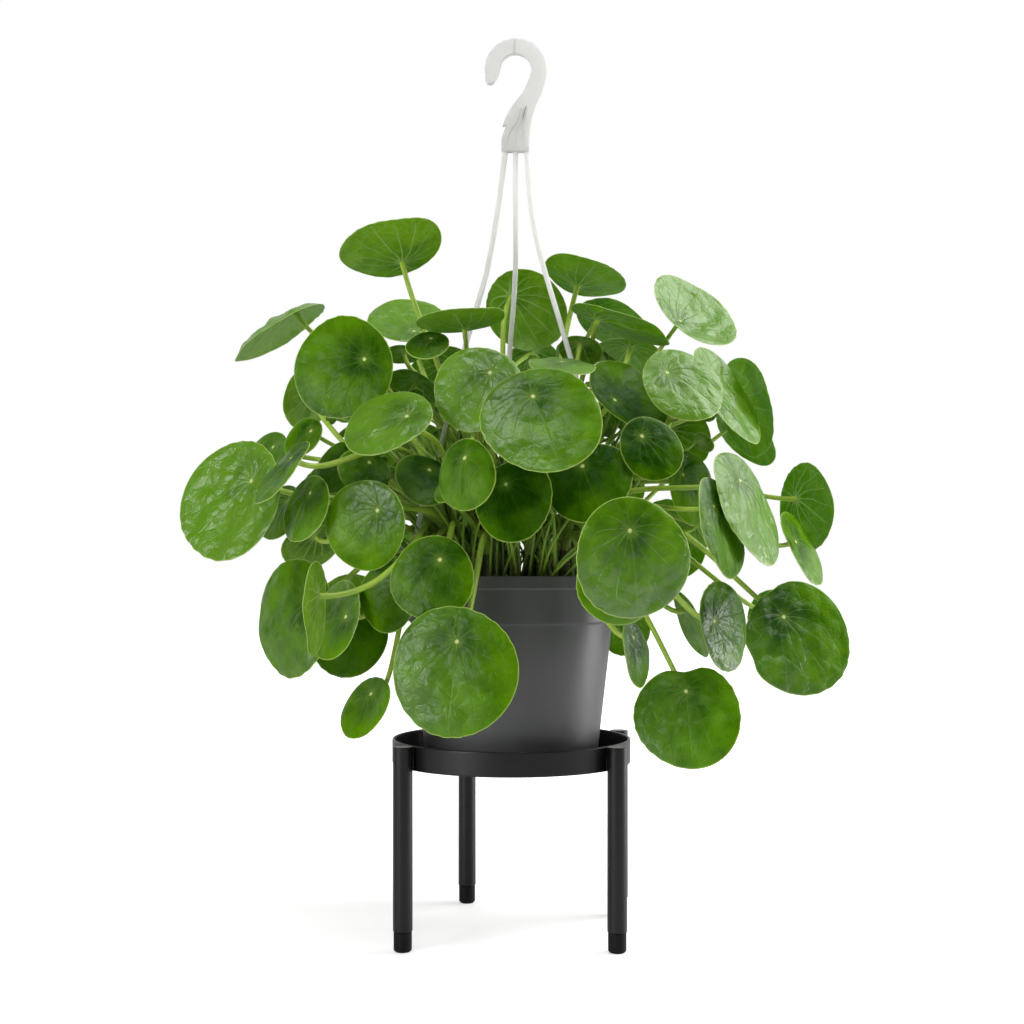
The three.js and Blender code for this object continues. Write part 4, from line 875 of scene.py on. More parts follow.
# stem, across, up, depth, broad, narrow, slant, hub clock, face, lean, cup in %
frontLeaves = [
    ("c", 23, 385, -125, 94, 79, -5, 111, 1, 1, -6),
    ("b", -44, 194, -120, 101, 96, 90, 84, 1, 1, -8),
    ("d", 92, 279, -130, 93, 87, 90, 96, 1, -1, -6),
    ("b", -26, 407, -75, 69, 63, 30, 51, 1, 1, -6),
    ("a", -60, 265, -102, 66, 63, 45, 66, 1, 1, -8),
    ("c", 1, 323, -92, 65, 57, 60, 115, 1, 1, -6),
    ("d", 58, 337, -88, 69, 58, 25, 112, 1, 1, -4),
    ("b", -38, 342, -115, 56, 43, 82, 83, 1, 1, -22),
    ("a", -94, 382.5, -85, 71, 42, 25, 17, 1, 1, -6),
    ("a", -127, 422, -50, 80, 73, 60, 24, 1, 1, -5),
    ("a", -111, 304, -82, 69, 61, 90, 49, 1, 1, -6),
    ("e", -210, 322, -55, 96, 69, 65, 48, 1, 1, 8),
    ("d", 106, 362, -88, 53, 44, -45, 128, 1, 1, -6),
    ("f", 130.5, 411.5, -55, 67, 48, -35, 146, 1, 1, -14),
    ("f", 217.5, 219.5, -50, 89, 77, -70, 126, 1, 1, -8),
    ("d", 132.5, 162, -70, 82, 80, 0, 95, 1, 1, -10),
    ("h", 87.5, 401.5, -35, 70, 38, -40, 197, 1, 1, 6),
    ("g", -89.5, 510, -30, 79, 42, 13, -45, -1, 1, 8),
    ("g", -179, 457, 40, 80, 17, 33, 36, -1, 1, -24),
    ("g", -78, 457, 50, 60, 32, 0, -54, 1, 1, 6),
    ("g", -38, 456, -45, 68, 18, 6, -60, -1, 1, 8),
    ("i", 12, 466, 62, 65, 58, -40, 138, -1, 1, -12),
    ("h", 54.5, 489.5, 40, 64, 28, -16, -133, -1, 1, 6),
    ("h", 78, 456, 80, 62, 33, -27, 150, -1, 1, -6),
    ("h", 82, 453, 0, 80, 17, -21, 160, -1, 1, 6),
    ("j", 135, 460.5, 25, 75, 34, -38, 201, 1, 1, 18),
    ("f", 161, 401, -35, 86, 26, -58, 148, 1, 1, 6),
    ("j", 179, 393, 25, 76, 39, -78, 170, -1, 1, -6),
    ("j", 177, 374, 75, 60, 30, -50, 150, -1, 1, -6),
    ("j", 129, 370, 60, 48, 42, -60, 150, -1, 1, -6),
    ("j", 223.5, 317, 15, 68, 40, -88, 141, -1, 1, -6),
    ("f", 181, 319, -62, 94, 33, -66, 110, 1, 1, -6),
    ("j", 166, 323, -72, 79, 18, -70, 110, -1, 1, -6),
    ("f", 160, 302, -95, 80, 28, -75, 110, 1, 1, -6),
    ("j", 221, 288, -25, 62, 17, -64, 150, 1, 1, -6),
    ("f", 162, 229, -40, 70, 34, -82, 160, 1, 1, -6),
    ("j", 137, 230, 15, 55, 16, -65, 120, -1, 1, -6),
    ("d", 95, 208, -95, 53, 18, -80, 100, 1, 1, -6),
    ("j", 136, 332, -20, 58, 32, -80, 120, 1, 1, -6),
    ("d", 81, 261, -110, 66, 62, 90, 96, 1, -1, -6),
    ("k", -185, 354, 45, 47, 26, 60, 60, 1, 1, -6),
    ("e", -175, 345, -85, 62, 14, 50, 50, 1, 1, -6),
    ("e", -157, 370, 15, 36, 22, 50, 40, 1, 1, -6),
    ("a", -156, 317, -65, 54, 30, 68, 70, 1, 1, -6),
    ("k", -174, 314, 70, 45, 28, 60, 60, -1, 1, -6),
    ("k", -151, 289, 55, 46, 32, 20, 60, -1, 1, -6),
    ("e", -155, 398, 60, 47, 34, 80, 40, -1, 1, -6),
    ("e", -131, 347, -20, 42, 30, 60, 40, 1, 1, -6),
    ("a", -110, 345, -50, 42, 34, -30, 60, 1, 1, -6),
    ("a", -93, 251, -75, 56, 44, 80, 60, 1, 1, -6),
    ("a", -109, 167, -50, 52, 30, 58, 73, 1, 1, 4),
    ("e", -166.5, 235, -10, 92, 54, 86, 45, 1, 1, -6),
    ("e", -150, 242, -118, 73, 17, 88, 60, -1, 1, -6),
    ("a", -134, 233, -62, 63, 33, 72, 18, 1, 1, -6),
    ("k", -122, 218, 25, 60, 52, 30, 110, 1, 1, -6),
    ("c", 38, 425, -64, 52, 12, -5, 90, 1, 1, -6),
    ("h", 52, 435, 5, 34, 24, -10, 90, -1, 1, -6),
    ("h", 89, 431, 60, 54, 30, -10, 90, -1, 1, -6),
    ("g", -82, 433, -5, 28, 14, 0, 60, -1, 1, -6),
    ("g", -63, 440, -55, 34, 20, 10, 60, 1, 1, -6),
    ("g", -74, 409, -10, 42, 24, -20, 60, -1, 1, -6),
    ("b", -65, 339, -55, 46, 36, -30, 60, 1, 1, -6),
    ("j", 141, 300, 12, 36, 20, -20, 120, -1, 1, -6),
]

# the same, as they would show from behind
backLeaves = [
    ("l", 25, 225, -125, 88, 84, 90, 88, 1, 1, -8),
    ("m", -62, 262, -120, 84, 80, 80, 70, 1, 1, -6),
    ("k", 95, 275, -110, 82, 74, -60, 120, 1, 1, -6),
    ("l", 5, 345, -120, 90, 80, 10, 95, 1, 1, -6),
    ("m", -88, 350, -100, 80, 70, 20, 70, 1, 1, -6),
    ("k", 90, 372, -95, 84, 72, -20, 110, 1, 1, -6),
    ("i", -25, 425, -90, 80, 66, -10, 90, 1, 1, -6),
    ("i", 60, 440, -70, 70, 50, -15, 120, 1, 1, -6),
    ("j", -150, 300, -92, 78, 60, 70, 50, 1, 1, -6),
    ("k", 160, 330, -78, 80, 62, -70, 130, 1, 1, -6),
    ("k", 150, 230, -90, 76, 66, -80, 130, 1, 1, -8),
    ("m", -30, 165, -125, 60, 54, 90, 90, 1, 1, -8),
    ("l", 75, 178, -110, 66, 52, -60, 110, 1, 1, -8),
    ("i", -20, 478, -115, 58, 34, -10, 95, 1, 1, -8),
    ("j", -130, 400, -70, 66, 48, 40, 60, 1, 1, -6),
    ("k", 135, 425, -50, 62, 44, -40, 130, 1, 1, -6),
    ("l", 45, 398, -135, 50, 40, -40, 100, 1, 1, -6),
    ("m", -38, 305, -138, 50, 44, 80, 90, 1, 1, -6),
    ("l", 58, 315, -136, 54, 48, -70, 100, 1, 1, -6),
    ("m", -112, 290, -80, 60, 46, 60, 60, 1, 1, -6),
    ("j", -222, 228, -40, 56, 40, 75, 50, 1, 1, -6),
    ("m", -110, 215, -105, 56, 48, 80, 60, 1, 1, -8),
]


def unit(v):
    return v / math.sqrt(float(v @ v))


# the same draws every run, and the same as the solids were made with
def randomStream(seed):
    while True:
        seed = seed * 16807 % 2147483647
        yield seed / 2147483647


# how far the blade's middle surface rises at u along the midrib and v across it, as a part of its radius
def bladeRise(blade, u, v):
    r2 = u * u + v * v
    e = layout["hubOffset"]
    return (blade["cup"] * r2 + blade["fold"] * (np.sqrt(v * v + 0.01) - 0.1)
            + blade["wave"] * r2 * np.sin(4 * np.arctan2(v, u) + blade["phase"])
            - 0.04 * np.exp(-((u + e) ** 2 + v * v) / 0.03))


def onBlade(blade, u, v):
    return blade["centre"] + blade["radius"] * (
        u * blade["tip"] + v * blade["side"] + bladeRise(blade, u, v) * blade["normal"])


# a blade from its row: broad and narrow are the axes of the oval that it shows in the view
def makeBlade(row, depth, fromBehind, draws):
    stem, across, up, rowDepth, broad, narrow, slant, clock, face, lean, cup = row
    scale = 1 + depth / layout["eyeDistance"]
    centre = np.array([across * scale, depth, layout["eyeHeight"] + (up - layout["eyeHeight"]) * scale])
    ray = unit(centre - np.array([0, -layout["eyeDistance"], layout["eyeHeight"]]))
    right = unit(np.cross(ray, np.array([0, 0, 1])))
    above = np.cross(right, ray)
    s = math.radians(slant)
    longWay = math.cos(s) * right + math.sin(s) * above
    shortWay = math.cos(s) * above - math.sin(s) * right
    seen = narrow / broad
    normal = -face * seen * ray + lean * math.sqrt(1 - seen * seen) * shortWay
    sideways = np.cross(normal, longWay)
    turn = math.radians(clock - slant)
    squeeze = float(sideways @ shortWay)
    squeeze = math.copysign(max(abs(squeeze), 0.35), squeeze)
    tip = -unit(math.cos(turn) * longWay + math.sin(turn) / squeeze * sideways)
    if fromBehind:
        halfTurn = np.array([-1, -1, 1])
        centre, normal, tip = centre * halfTurn, normal * halfTurn, tip * halfTurn
    blade = {
        "stem": stem, "centre": centre, "radius": broad * scale / 2, "normal": normal, "tip": tip,
        "side": np.cross(normal, tip), "cup": cup / 100, "phase": 6.283 * draws[0],
        "fromBehind": fromBehind, "fold": 0.09 * draws[1] - 0.02, "wave": 0.006 + 0.014 * draws[2],
        "row": row, "rise": 8 * draws[0] - 4,
    }
    blade["hub"] = onBlade(blade, -layout["hubOffset"], 0)
    points = [blade["hub"]]
    for part, count in ((0.5, 8), (1.0, 16)):
        for i in range(count):
            a = 2 * math.pi * i / count
            u = part * math.cos(a) - (1 - part) * layout["hubOffset"]
            points.append(onBlade(blade, u, part * math.sin(a)))
    blade["points"] = np.array(points)
    return blade


# which points lie over or under a blade, and how far from it
def heightsOver(blade, points, margin):
    d = (points - blade["centre"]) / blade["radius"]
    u, v, w = d @ blade["tip"], d @ blade["side"], d @ blade["normal"]
    inside = np.hypot(u, v) < 1 + margin / blade["radius"]
    return inside, (w - bladeRise(blade, u, v)) * blade["radius"]


def bladesMeet(a, b, gap=layout["bladeGap"]):
    if np.linalg.norm(a["centre"] - b["centre"]) > a["radius"] + b["radius"] + gap:
        return False
    for points, other in ((a["points"], b), (b["points"], a)):
        inside, height = heightsOver(other, points, 2)
        height = height[inside]
        if len(height) and (height.min() < gap and height.max() > -gap):
            return True
    return False


# how far out the tray, the pot and its rim reach at a height
def potWall(z):
    low = np.where(z > layout["wallFrom"], layout["wallReach"], layout["trayReach"])
    return np.where(z > layout["rimFrom"], layout["rimReach"], low)


def meetsPot(points):
    r = np.hypot(points[:, 0], points[:, 1])
    return bool(((points[:, 2] < layout["potTop"]) & (r < potWall(points[:, 2]) + 3)).any())


# does a line of points pass through the blade
def crosses(inside, height):
    both = inside[:-1] & inside[1:]
    return bool((both & (height[:-1] * height[1:] < 0)).any())


strandPoints = np.vstack([smoothRoute(route, 66) for route in strandRoutes.values()])
depthTries = [0] + [sign * 4 * k for k in range(1, 12) for sign in (1, -1)]


def placeBlades():
    blades = []
    stream = randomStream(layout["seed"])
    for fromBehind, rows in ((False, frontLeaves), (True, backLeaves)):
        for row in rows:
            draws = [next(stream) for _ in range(3)]
            for step in depthTries:
                blade = makeBlade(row, row[3] * layout["depthStretch"] + step, fromBehind, draws)
                if meetsPot(blade["points"]):
                    continue
                inside, height = heightsOver(blade, strandPoints, 4)
                if crosses(inside, height) or (inside & (np.abs(height) < layout["strandGap"])).any():
                    continue
                if any(bladesMeet(blade, other) for other in blades):
                    continue
                blades.append(blade)
                break
    return blades


def cubic(p0, p1, p2, p3, count):
    t = np.linspace(0, 1, count)[:, None]
    return (1 - t) ** 3 * p0 + 3 * (1 - t) ** 2 * t * p1 + 3 * (1 - t) * t * t * p2 + t ** 3 * p3


# ways to lead a petiole, the plainest first
def petioleTries():
    ways = []
    for swing in (0, .1, -.1, .2, -.2, .32, -.32, .45, -.45):
        for lift in (.42, .25, .6, .12, .8):
            for reach in (.28, .16, .42):
                for start in (.7, .5, .88, .25):
                    for flare in (.12, .35):
                        bend = abs(swing) * 3 + abs(lift - .42) + abs(reach - .28) + abs(start - .7) / 2
                        ways.append((round(bend + flare, 4), swing, lift, reach, start, flare))
    ways.sort(key=lambda c: c[0])
    return ways


def petioleLine(blade, choice, count=40):
    bend, swing, lift, reach, start, flare = choice
    x, y, height = stems[blade["stem"]]
    p3 = blade["hub"] - 0.45 * blade["normal"]
    outward = unit(np.array([p3[0] - x, p3[1] - y, 0]))
    p0 = np.array([x, y, layout["soilTop"] + height * start + blade["rise"]]) + 2 * outward
    length = math.sqrt(float((p3 - p0) @ (p3 - p0)))
    sideways = np.array([-outward[1], outward[0], 0])
    p1 = p0 + length * (lift * np.array([0, 0, 1]) + flare * outward + swing * sideways)
    p2 = p3 - length * reach * blade["normal"] + length * swing * 0.6 * sideways
    return cubic(p0, p1, p2, p3, count)


# how far each point is from each stretch of a line
def toSegments(points, line):
    a, b = line[:-1], line[1:]
    ab = b - a
    ap = points[:, None, :] - a[None]
    f = np.clip((ap * ab[None]).sum(2) / (ab * ab).sum(1)[None], 0, 1)
    return np.linalg.norm(ap - f[..., None] * ab[None], axis=2)


stemAxes = {name: np.array([[x, y, layout["soilTop"] + height * j / 8] for j in range(9)])
            for name, (x, y, height) in stems.items()}


# the least free room along a petiole; it stops looking once there is far too little
def petioleRoom(line, own, blades, lines, enough):
    r = np.hypot(line[:, 0], line[:, 1])
    z = line[:, 2]
    room = 9.0
    near = z < layout["potTop"]
    if near.any():
        outer = r[near] - potWall(z[near]) + 1.5
        inner = np.where(z[near] > layout["mouthFrom"], layout["mouthReach"] - r[near], -9)
        room = min(room, float(np.maximum(outer, inner).min()))
    if room < 0:
        return room
    for other in blades:
        if np.linalg.norm(line - other["centre"], axis=1).min() > other["radius"] + 8:
            continue
        inside, height = heightsOver(other, line, 3.5)
        if other is own:
            far = inside & (np.linalg.norm(line - own["hub"], axis=1) > 9)
            if far.any():
                room = min(room, float((-height[far]).min()))
        elif inside.any():
            if crosses(inside, height):
                return -1
            room = min(room, float(np.abs(height[inside]).min()))
        if room < 0:
            return room
    room = min(room, float(np.linalg.norm(line[:, None] - strandPoints[None], axis=2).min()) - 1.5)
    for name, axis in stemAxes.items():
        if name != own["stem"]:
            room = min(room, float(np.linalg.norm(line[:, None] - axis[None], axis=2).min()) - 4)
    if room < enough * 0.3:
        return room
    low, high = line.min(0) - 10.2, line.max(0) + 10.2
    for name, other in lines:
        if (other.min(0) > high).any() or (other.max(0) < low).any():
            continue
        if name == own["stem"]:
            d = toSegments(line[12:], other[12:])
        else:
            d = toSegments(line, other)
        room = min(room, float(d.min()) - 1.1)
    return room


def routePetioles(blades):
    choices = petioleTries()
    lines = []
    for blade in blades:
        best, bestLine = -99, None
        for choice in choices:
            line = petioleLine(blade, choice)
            room = petioleRoom(line, blade, blades, lines, layout["petioleGap"])
            if room > best:
                best, bestLine = room, line
            if room >= layout["petioleGap"]:
                break
        lines.append((blade["stem"], bestLine))
    return lines


# Young leaves fill the crown under the big ones. They show only in the render: each is a thin stalk from
# the soil or from a stem, with a small blade where there is room for it.
young = {
    "seed": 5, "count": 150, "tries": 3200, "radius": (6, 13.5), "reach": (25, 100), "rise": (30, 125),
    "pups": 150, "pupTries": 3600, "pupRadius": (5, 10), "pupReach": (6, 46), "pupRise": (14, 94),
    "pupFoot": (7, 23), "pupDepth": 4, "pupSpread": 65, "footOut": 2.5, "footHeight": (0.35, 0.95),
    "bladeGap": 2.2, "stalkGap": 1.2, "strandGap": 3, "crownRadius": 62, "lowest": 275, "frontLimit": 12,
}


# a size drawn between two limits
def drawn(rng, limits):
    return limits[0] + (limits[1] - limits[0]) * rng.random()


# is most of a small blade behind big ones in the front view
def hiddenInView(small, blades):
    eye = np.array([0, -layout["eyeDistance"], layout["eyeHeight"]])
    seen = small["points"][::3]
    hidden = np.zeros(len(seen), bool)
    for other in blades:
        ways = seen - eye
        along = ((other["centre"] - eye) @ other["normal"]) / (ways @ other["normal"])
        spots = eye + along[:, None] * ways
        hidden |= (along < 1) & (np.linalg.norm(spots - other["centre"], axis=1) < other["radius"] * 0.95)
    return hidden.mean() > 0.7


# pups stand in the soil round each stem; the other young leaves sit on the stems, under the big ones
def growYoung(blades, lines):
    rng = np.random.default_rng(young["seed"])
    names = list(stems)
    grownOnes = []
    for attempt in range(young["pupTries"] + young["tries"]):
        pup = attempt < young["pupTries"]
        if len(grownOnes) == young["pups"] + young["count"] or (pup and len(grownOnes) == young["pups"]):
            continue
        stem = names[attempt % len(names)]
        x, y, height = stems[stem]
        way = math.atan2(y, x) + 1.5 * rng.normal()
        outward = np.array([math.cos(way), math.sin(way), 0])
        base = np.array([x, y, 0]) + (drawn(rng, young["pupFoot"]) if pup else young["footOut"]) * outward
        foot = -young["pupDepth"] if pup else height * drawn(rng, young["footHeight"])
        base[2] = layout["soilTop"] + foot
        if math.hypot(base[0], base[1]) > young["pupSpread"]:
            continue
        reach = drawn(rng, young["pupReach" if pup else "reach"])
        rise = drawn(rng, young["pupRise" if pup else "rise"])
        hub = base + reach * outward + np.array([0, 0, rise])
        normal = unit(0.75 * outward + np.array([0, 0, 0.75]) + 0.35 * rng.normal(size=3))
        tip = unit(np.cross(normal, rng.normal(size=3)))
        size = drawn(rng, young["pupRadius" if pup else "radius"])
        blade = {"stem": stem, "radius": size, "normal": normal, "tip": tip, "side": np.cross(normal, tip),
                 "cup": 0.02 + 0.2 * rng.random(), "phase": 6.283 * rng.random(), "fromBehind": True,
                 "fold": 0.04, "wave": 0.02, "row": (stem, 0, 0),
                 "centre": hub + layout["hubOffset"] * size * tip}
        blade["hub"] = onBlade(blade, -layout["hubOffset"], 0)
        angles = np.arange(12) * math.pi / 6
        blade["points"] = np.array([onBlade(blade, part * math.cos(a), part * math.sin(a))
                                    for part in (0.5, 1.0) for a in angles])
        inCrown = math.hypot(hub[0], hub[1]) < young["crownRadius"]
        if hub[2] < young["lowest"] and not inCrown:
            continue
        if hub[1] < young["frontLimit"] and not hiddenInView(blade, blades):
            continue
        near = any(bladesMeet(blade, other, young["bladeGap"]) for other in blades + grownOnes)
        if near or meetsPot(blade["points"]):
            continue
        inside, height = heightsOver(blade, strandPoints, young["strandGap"])
        if (inside & (np.abs(height) < young["strandGap"])).any():
            continue
        p1 = base + reach * 0.15 * outward + np.array([0, 0, rise * 0.6])
        p2 = hub - 0.3 * math.hypot(reach, rise) * normal
        line = cubic(base, p1, p2, hub, 30)
        tested = line[line[:, 2] > 257] if pup else line
        own = {**blade, "stem": "soil" if pup else stem}
        if petioleRoom(tested, own, blades + grownOnes, lines, young["stalkGap"]) < young["stalkGap"]:
            continue
        grownOnes.append(blade)
        lines.append((stem, line))
    return grownOnes


# the plant: blades, petioles and stems; trim, heights, curl and scallops are parts of a blade's radius
foliage = {
    "bladeSeed": 100, "petioleSeed": 23,
    "trim": 0.985, "thickness": 0.7, "mainVeins": 12, "veinSweep": 0.75, "scallops": 24,
    "scallopDepth": 0.017, "quiltHeight": 0.015, "wedgeHeight": 0.022, "curl": 0.02,
    "petioleFoot": 2.45, "petioleTip": 1.9, "petioleSides": 10, "petioleSpacing": 4.5,
    "stemFoot": 244, "stemRadius": 3.9, "stemTopRadius": 2.7, "stemSides": 20, "stemSpacing": 2.2,
    "youngFoot": 1.25, "youngTip": 0.95, "youngSides": 6, "youngSpacing": 4.0, "youngRadius": 13.6,
    # corners round the rim for blades over each radius
    "spokes": ((39, 96), (27, 72), (13.6, 56), (0, 20)),
    # how far out the rings of a blade lie
    "rings": [0.03, 0.07, 0.12, 0.18, *np.linspace(0.25, 0.93, 14), 0.96, 0.98, 0.992, 1.0],
    "youngRings": [0.08, 0.22, 0.42, 0.62, 0.8, 0.92, 0.98, 1.0],
}
# leaves with notches in the rim, by their across and up: the clock angle in the view, depth and width of
# the notch and how far it folds back
notches = {
    (217.5, 219.5): [(203, 0.09, 0.2, 0.04), (122, 0.05, 0.25, 0.06)],
    (132.5, 162): [(93, 0.13, 0.3, 0.12)],
}
# how fresh the green of the leaves is that stand out in the view (partly their own tone, partly painted shade
# and light), how much they shine and the clock angle of their waxier side (None: waxed all over); the others
# are drawn by lot
leafTonesAndPaintedLight = {
    (1, 323): (0.1, 0.15, 90), (58, 337): (0.1, 0.15, 90), (-127, 422): (0.35, 0.35, 240),
    (-60, 265): (0.4, 0.45, 200), (23, 385): (0.5, 1.0, 205), (-44, 194): (0.5, 0.9, 185),
    (92, 279): (0.55, 1.6, 262), (-26, 407): (0.85, 1.0, None), (-210, 322): (1.0, 1.0, None),
    (132.5, 162): (0.5, 0.7, 215), (217.5, 219.5): (0.35, 0.8, 215), (106, 362): (0.2, 0.15, 90),
    (87.5, 401.5): (0.2, 0.2, 90), (-38, 342): (0.6, 0.6, 200), (-111, 304): (0.7, 1.0, 90),
    (-89.5, 510): (0.7, 0.6, 220), (130.5, 411.5): (1.0, 1.0, None), (135, 460.5): (1.0, 1.0, None),
    (-78, 457): (1.0, 1.0, None), (38, 425): (0.8, 1.0, None), (-94, 382.5): (0.85, 1.0, None),
    (-179, 457): (1.0, 1.0, None), (181, 319): (0.8, 0.9, None), (161, 401): (0.85, 1.0, None),
    (-150, 242): (1.0, 0.6, None), (-166.5, 235): (0.55, 0.9, 240), (-134, 233): (0.6, 0.8, 60),
}


# a clock angle in the view as an angle on the blade itself
def bladeAngle(blade, clock):
    ray = unit(blade["centre"] - np.array([0, -layout["eyeDistance"], layout["eyeHeight"]]))
    right = unit(np.cross(ray, np.array([0, 0, 1])))
    seen = math.cos(math.radians(clock)) * right + math.sin(math.radians(clock)) * np.cross(right, ray)
    return math.atan2(float(seen @ blade["side"]), float(seen @ blade["tip"]))


# one blade: an upper and an under face joined round the rim, with the measures its finish reads
def bladeSheet(blade, number):
    rng = np.random.default_rng(foliage["bladeSeed"] + number)
    size = blade["radius"]
    spokes = next(count for least, count in foliage["spokes"] if size > least)
    parts = np.array(foliage["youngRings" if size < foliage["youngRadius"] else "rings"])
    a = 2 * math.pi * np.arange(spokes) / spokes
    part = np.concatenate([[0], np.repeat(parts, spokes)])
    angle = np.concatenate([[0], np.tile(a, len(parts))])
    wave = rng.random(4) * 6.283    # where each ripple starts
    rim = foliage["trim"] * (1 + 0.02 * np.sin(3 * angle + blade["phase"] * 2))
    teeth = 0.5 + 0.5 * np.sin(foliage["scallops"] * angle + 1.3 * np.sin(3 * angle + wave[0]))
    rim = rim * (1 - foliage["scallopDepth"] * teeth * (0.5 + 0.5 * np.sin(2 * angle + wave[1])))
    drop = foliage["curl"] * np.clip((part - 0.82) / 0.18, 0, 1) ** 2
    key = tuple(blade["row"][1:3])
    if key in notches and not blade["fromBehind"]:
        for clock, deep, wide, fold in notches[key]:
            away = np.angle(np.exp(1j * (angle - bladeAngle(blade, clock))))
            bite = np.exp(-(away / wide) ** 2)
            rim = rim * (1 - deep * bite)
            drop = drop + fold * bite * np.clip((part - 0.6) / 0.4, 0, 1) ** 2
    u = part * rim * np.cos(angle) - (1 - part) * layout["hubOffset"]
    v = part * rim * np.sin(angle)
    x, y = (u + layout["hubOffset"]) * size, v * size
    # veins leave the hub and sweep towards the tip; q is the angle at which each one set out
    theta = np.arctan2(y, x)
    q = theta + (foliage["veinSweep"] * part + 0.05 * np.sin(9 * part + wave[2])) * np.sin(theta)
    count = foliage["mainVeins"]
    between = np.sin(count * q / 2)
    veinReach = between * np.hypot(x, y) * 2 / count
    grow = np.clip(part / 0.35, 0, 1) * np.clip((1.02 - part) / 0.12, 0, 1)
    pillows = np.abs(between) ** 1.2 * (0.7 + 0.3 * np.sin(part * 17 + wave[3] + 2 * np.cos(q * 3)))
    ripple = np.zeros_like(part)
    for k in range(7):
        way = rng.random() * 6.283
        length = 13 + 22 * rng.random()
        ripple += np.sin((x * math.cos(way) + y * math.sin(way)) * 6.283 / length + rng.random() * 6.283)
    wedges = (np.sin(3 * q + wave[3]) + 0.7 * np.sin(5 * q + wave[0] + 2 * part)) * part * (1.4 - part)
    detail = (foliage["quiltHeight"] * grow * (0.7 * pillows + 0.45 * ripple) - drop
              + foliage["wedgeHeight"] * wedges)
    high = bladeRise(blade, u, v) + detail - foliage["quiltHeight"] * 0.9 * np.clip(part / 0.3, 0, 1)
    top = (blade["centre"] + size * (np.outer(u, blade["tip"]) + np.outer(v, blade["side"])
                                     + np.outer(high, blade["normal"])))
    thick = foliage["thickness"] * (1 - 0.45 * part ** 4)
    low = top - thick[:, None] * blade["normal"]
    outward = np.outer(np.cos(a), blade["tip"]) + np.outer(np.sin(a), blade["side"])
    edge = (top[-spokes:] + low[-spokes:]) / 2 + 0.12 * outward
    n = len(part)
    here = 1 + (np.arange(len(parts) - 1)[:, None] * spokes + np.arange(spokes))
    nextSpoke = 1 + (np.arange(len(parts) - 1)[:, None] * spokes + (np.arange(spokes) + 1) % spokes)
    quads = np.stack([here, here + spokes, nextSpoke + spokes, nextSpoke], -1).reshape(-1, 4)
    j = np.arange(spokes)
    fan = np.stack([np.zeros(spokes, int), 1 + j, 1 + (j + 1) % spokes], 1)
    rimTop = 1 + (len(parts) - 1) * spokes + j
    rimNext = 1 + (len(parts) - 1) * spokes + (j + 1) % spokes
    edgeHere, edgeNext = 2 * n + j, 2 * n + (j + 1) % spokes
    wall = np.concatenate([np.stack([rimTop, edgeHere, edgeNext, rimNext], 1),
                           np.stack([edgeHere, rimTop + n, rimNext + n, edgeNext], 1)])
    allQuads = np.concatenate([quads, quads[:, ::-1] + n, wall])
    allFans = np.concatenate([fan, fan[:, ::-1] + n])
    slots = np.concatenate([np.zeros(len(quads)), np.ones(len(quads)), np.zeros(spokes), np.ones(spokes),
                            np.zeros(spokes), np.ones(spokes)])
    rimReach = (1 - part) * size * (1 + 0.3 * np.cos(angle))
    place = np.column_stack([x, y, np.full(n, 40.0 * number)])
    last = slice(n - spokes, n)
    lot = (0.25 + 0.6 * rng.random(), 0.3 + 0.6 * rng.random(), 360 * rng.random())
    # a tone from the table partly paints shade and light on that leaf; the lot gives a random tone
    tone, shine, clock = leafTonesAndPaintedLight.get(key, lot)
    wax = np.full(n, float(shine))
    if clock is not None:
        way = bladeAngle(blade, clock)
        wax *= np.clip(0.5 + 0.6 * (u * math.cos(way) + v * math.sin(way)), 0.1, 1)
    values = {
        "leafPlace": np.vstack([place, place, place[last]]),
        "veinReach": np.concatenate([veinReach, veinReach, veinReach[last]]),
        "rimReach": np.concatenate([rimReach, rimReach, np.zeros(spokes)]),
        "leafTone": np.full(2 * n + spokes, tone),
        "leafShine": np.concatenate([wax, wax, wax[last]]),
    }
    return np.vstack([top, low, edge]), allQuads, allFans, slots, values


# a stem's blades in one mesh
def bladesMesh(name, sheets):
    points, quads, fans, slots = [], [], [], []
    values = {"leafPlace": [], "veinReach": [], "rimReach": [], "leafTone": [], "leafShine": []}
    start = 0
    for sheet, quad, fan, slot, value in sheets:
        points.append(sheet)
        quads.append(quad + start)
        fans.append(fan + start)
        slots.append((slot[:len(quad)], slot[len(quad):]))
        for key in values:
            values[key].append(value[key])
        start += len(sheet)
    order = np.concatenate([s[0] for s in slots] + [s[1] for s in slots])
    return makeMesh(name, np.vstack(points), [np.concatenate(quads), np.concatenate(fans)],
                    [leafUpper, leafUnder], order, {k: np.concatenate(v) for k, v in values.items()})


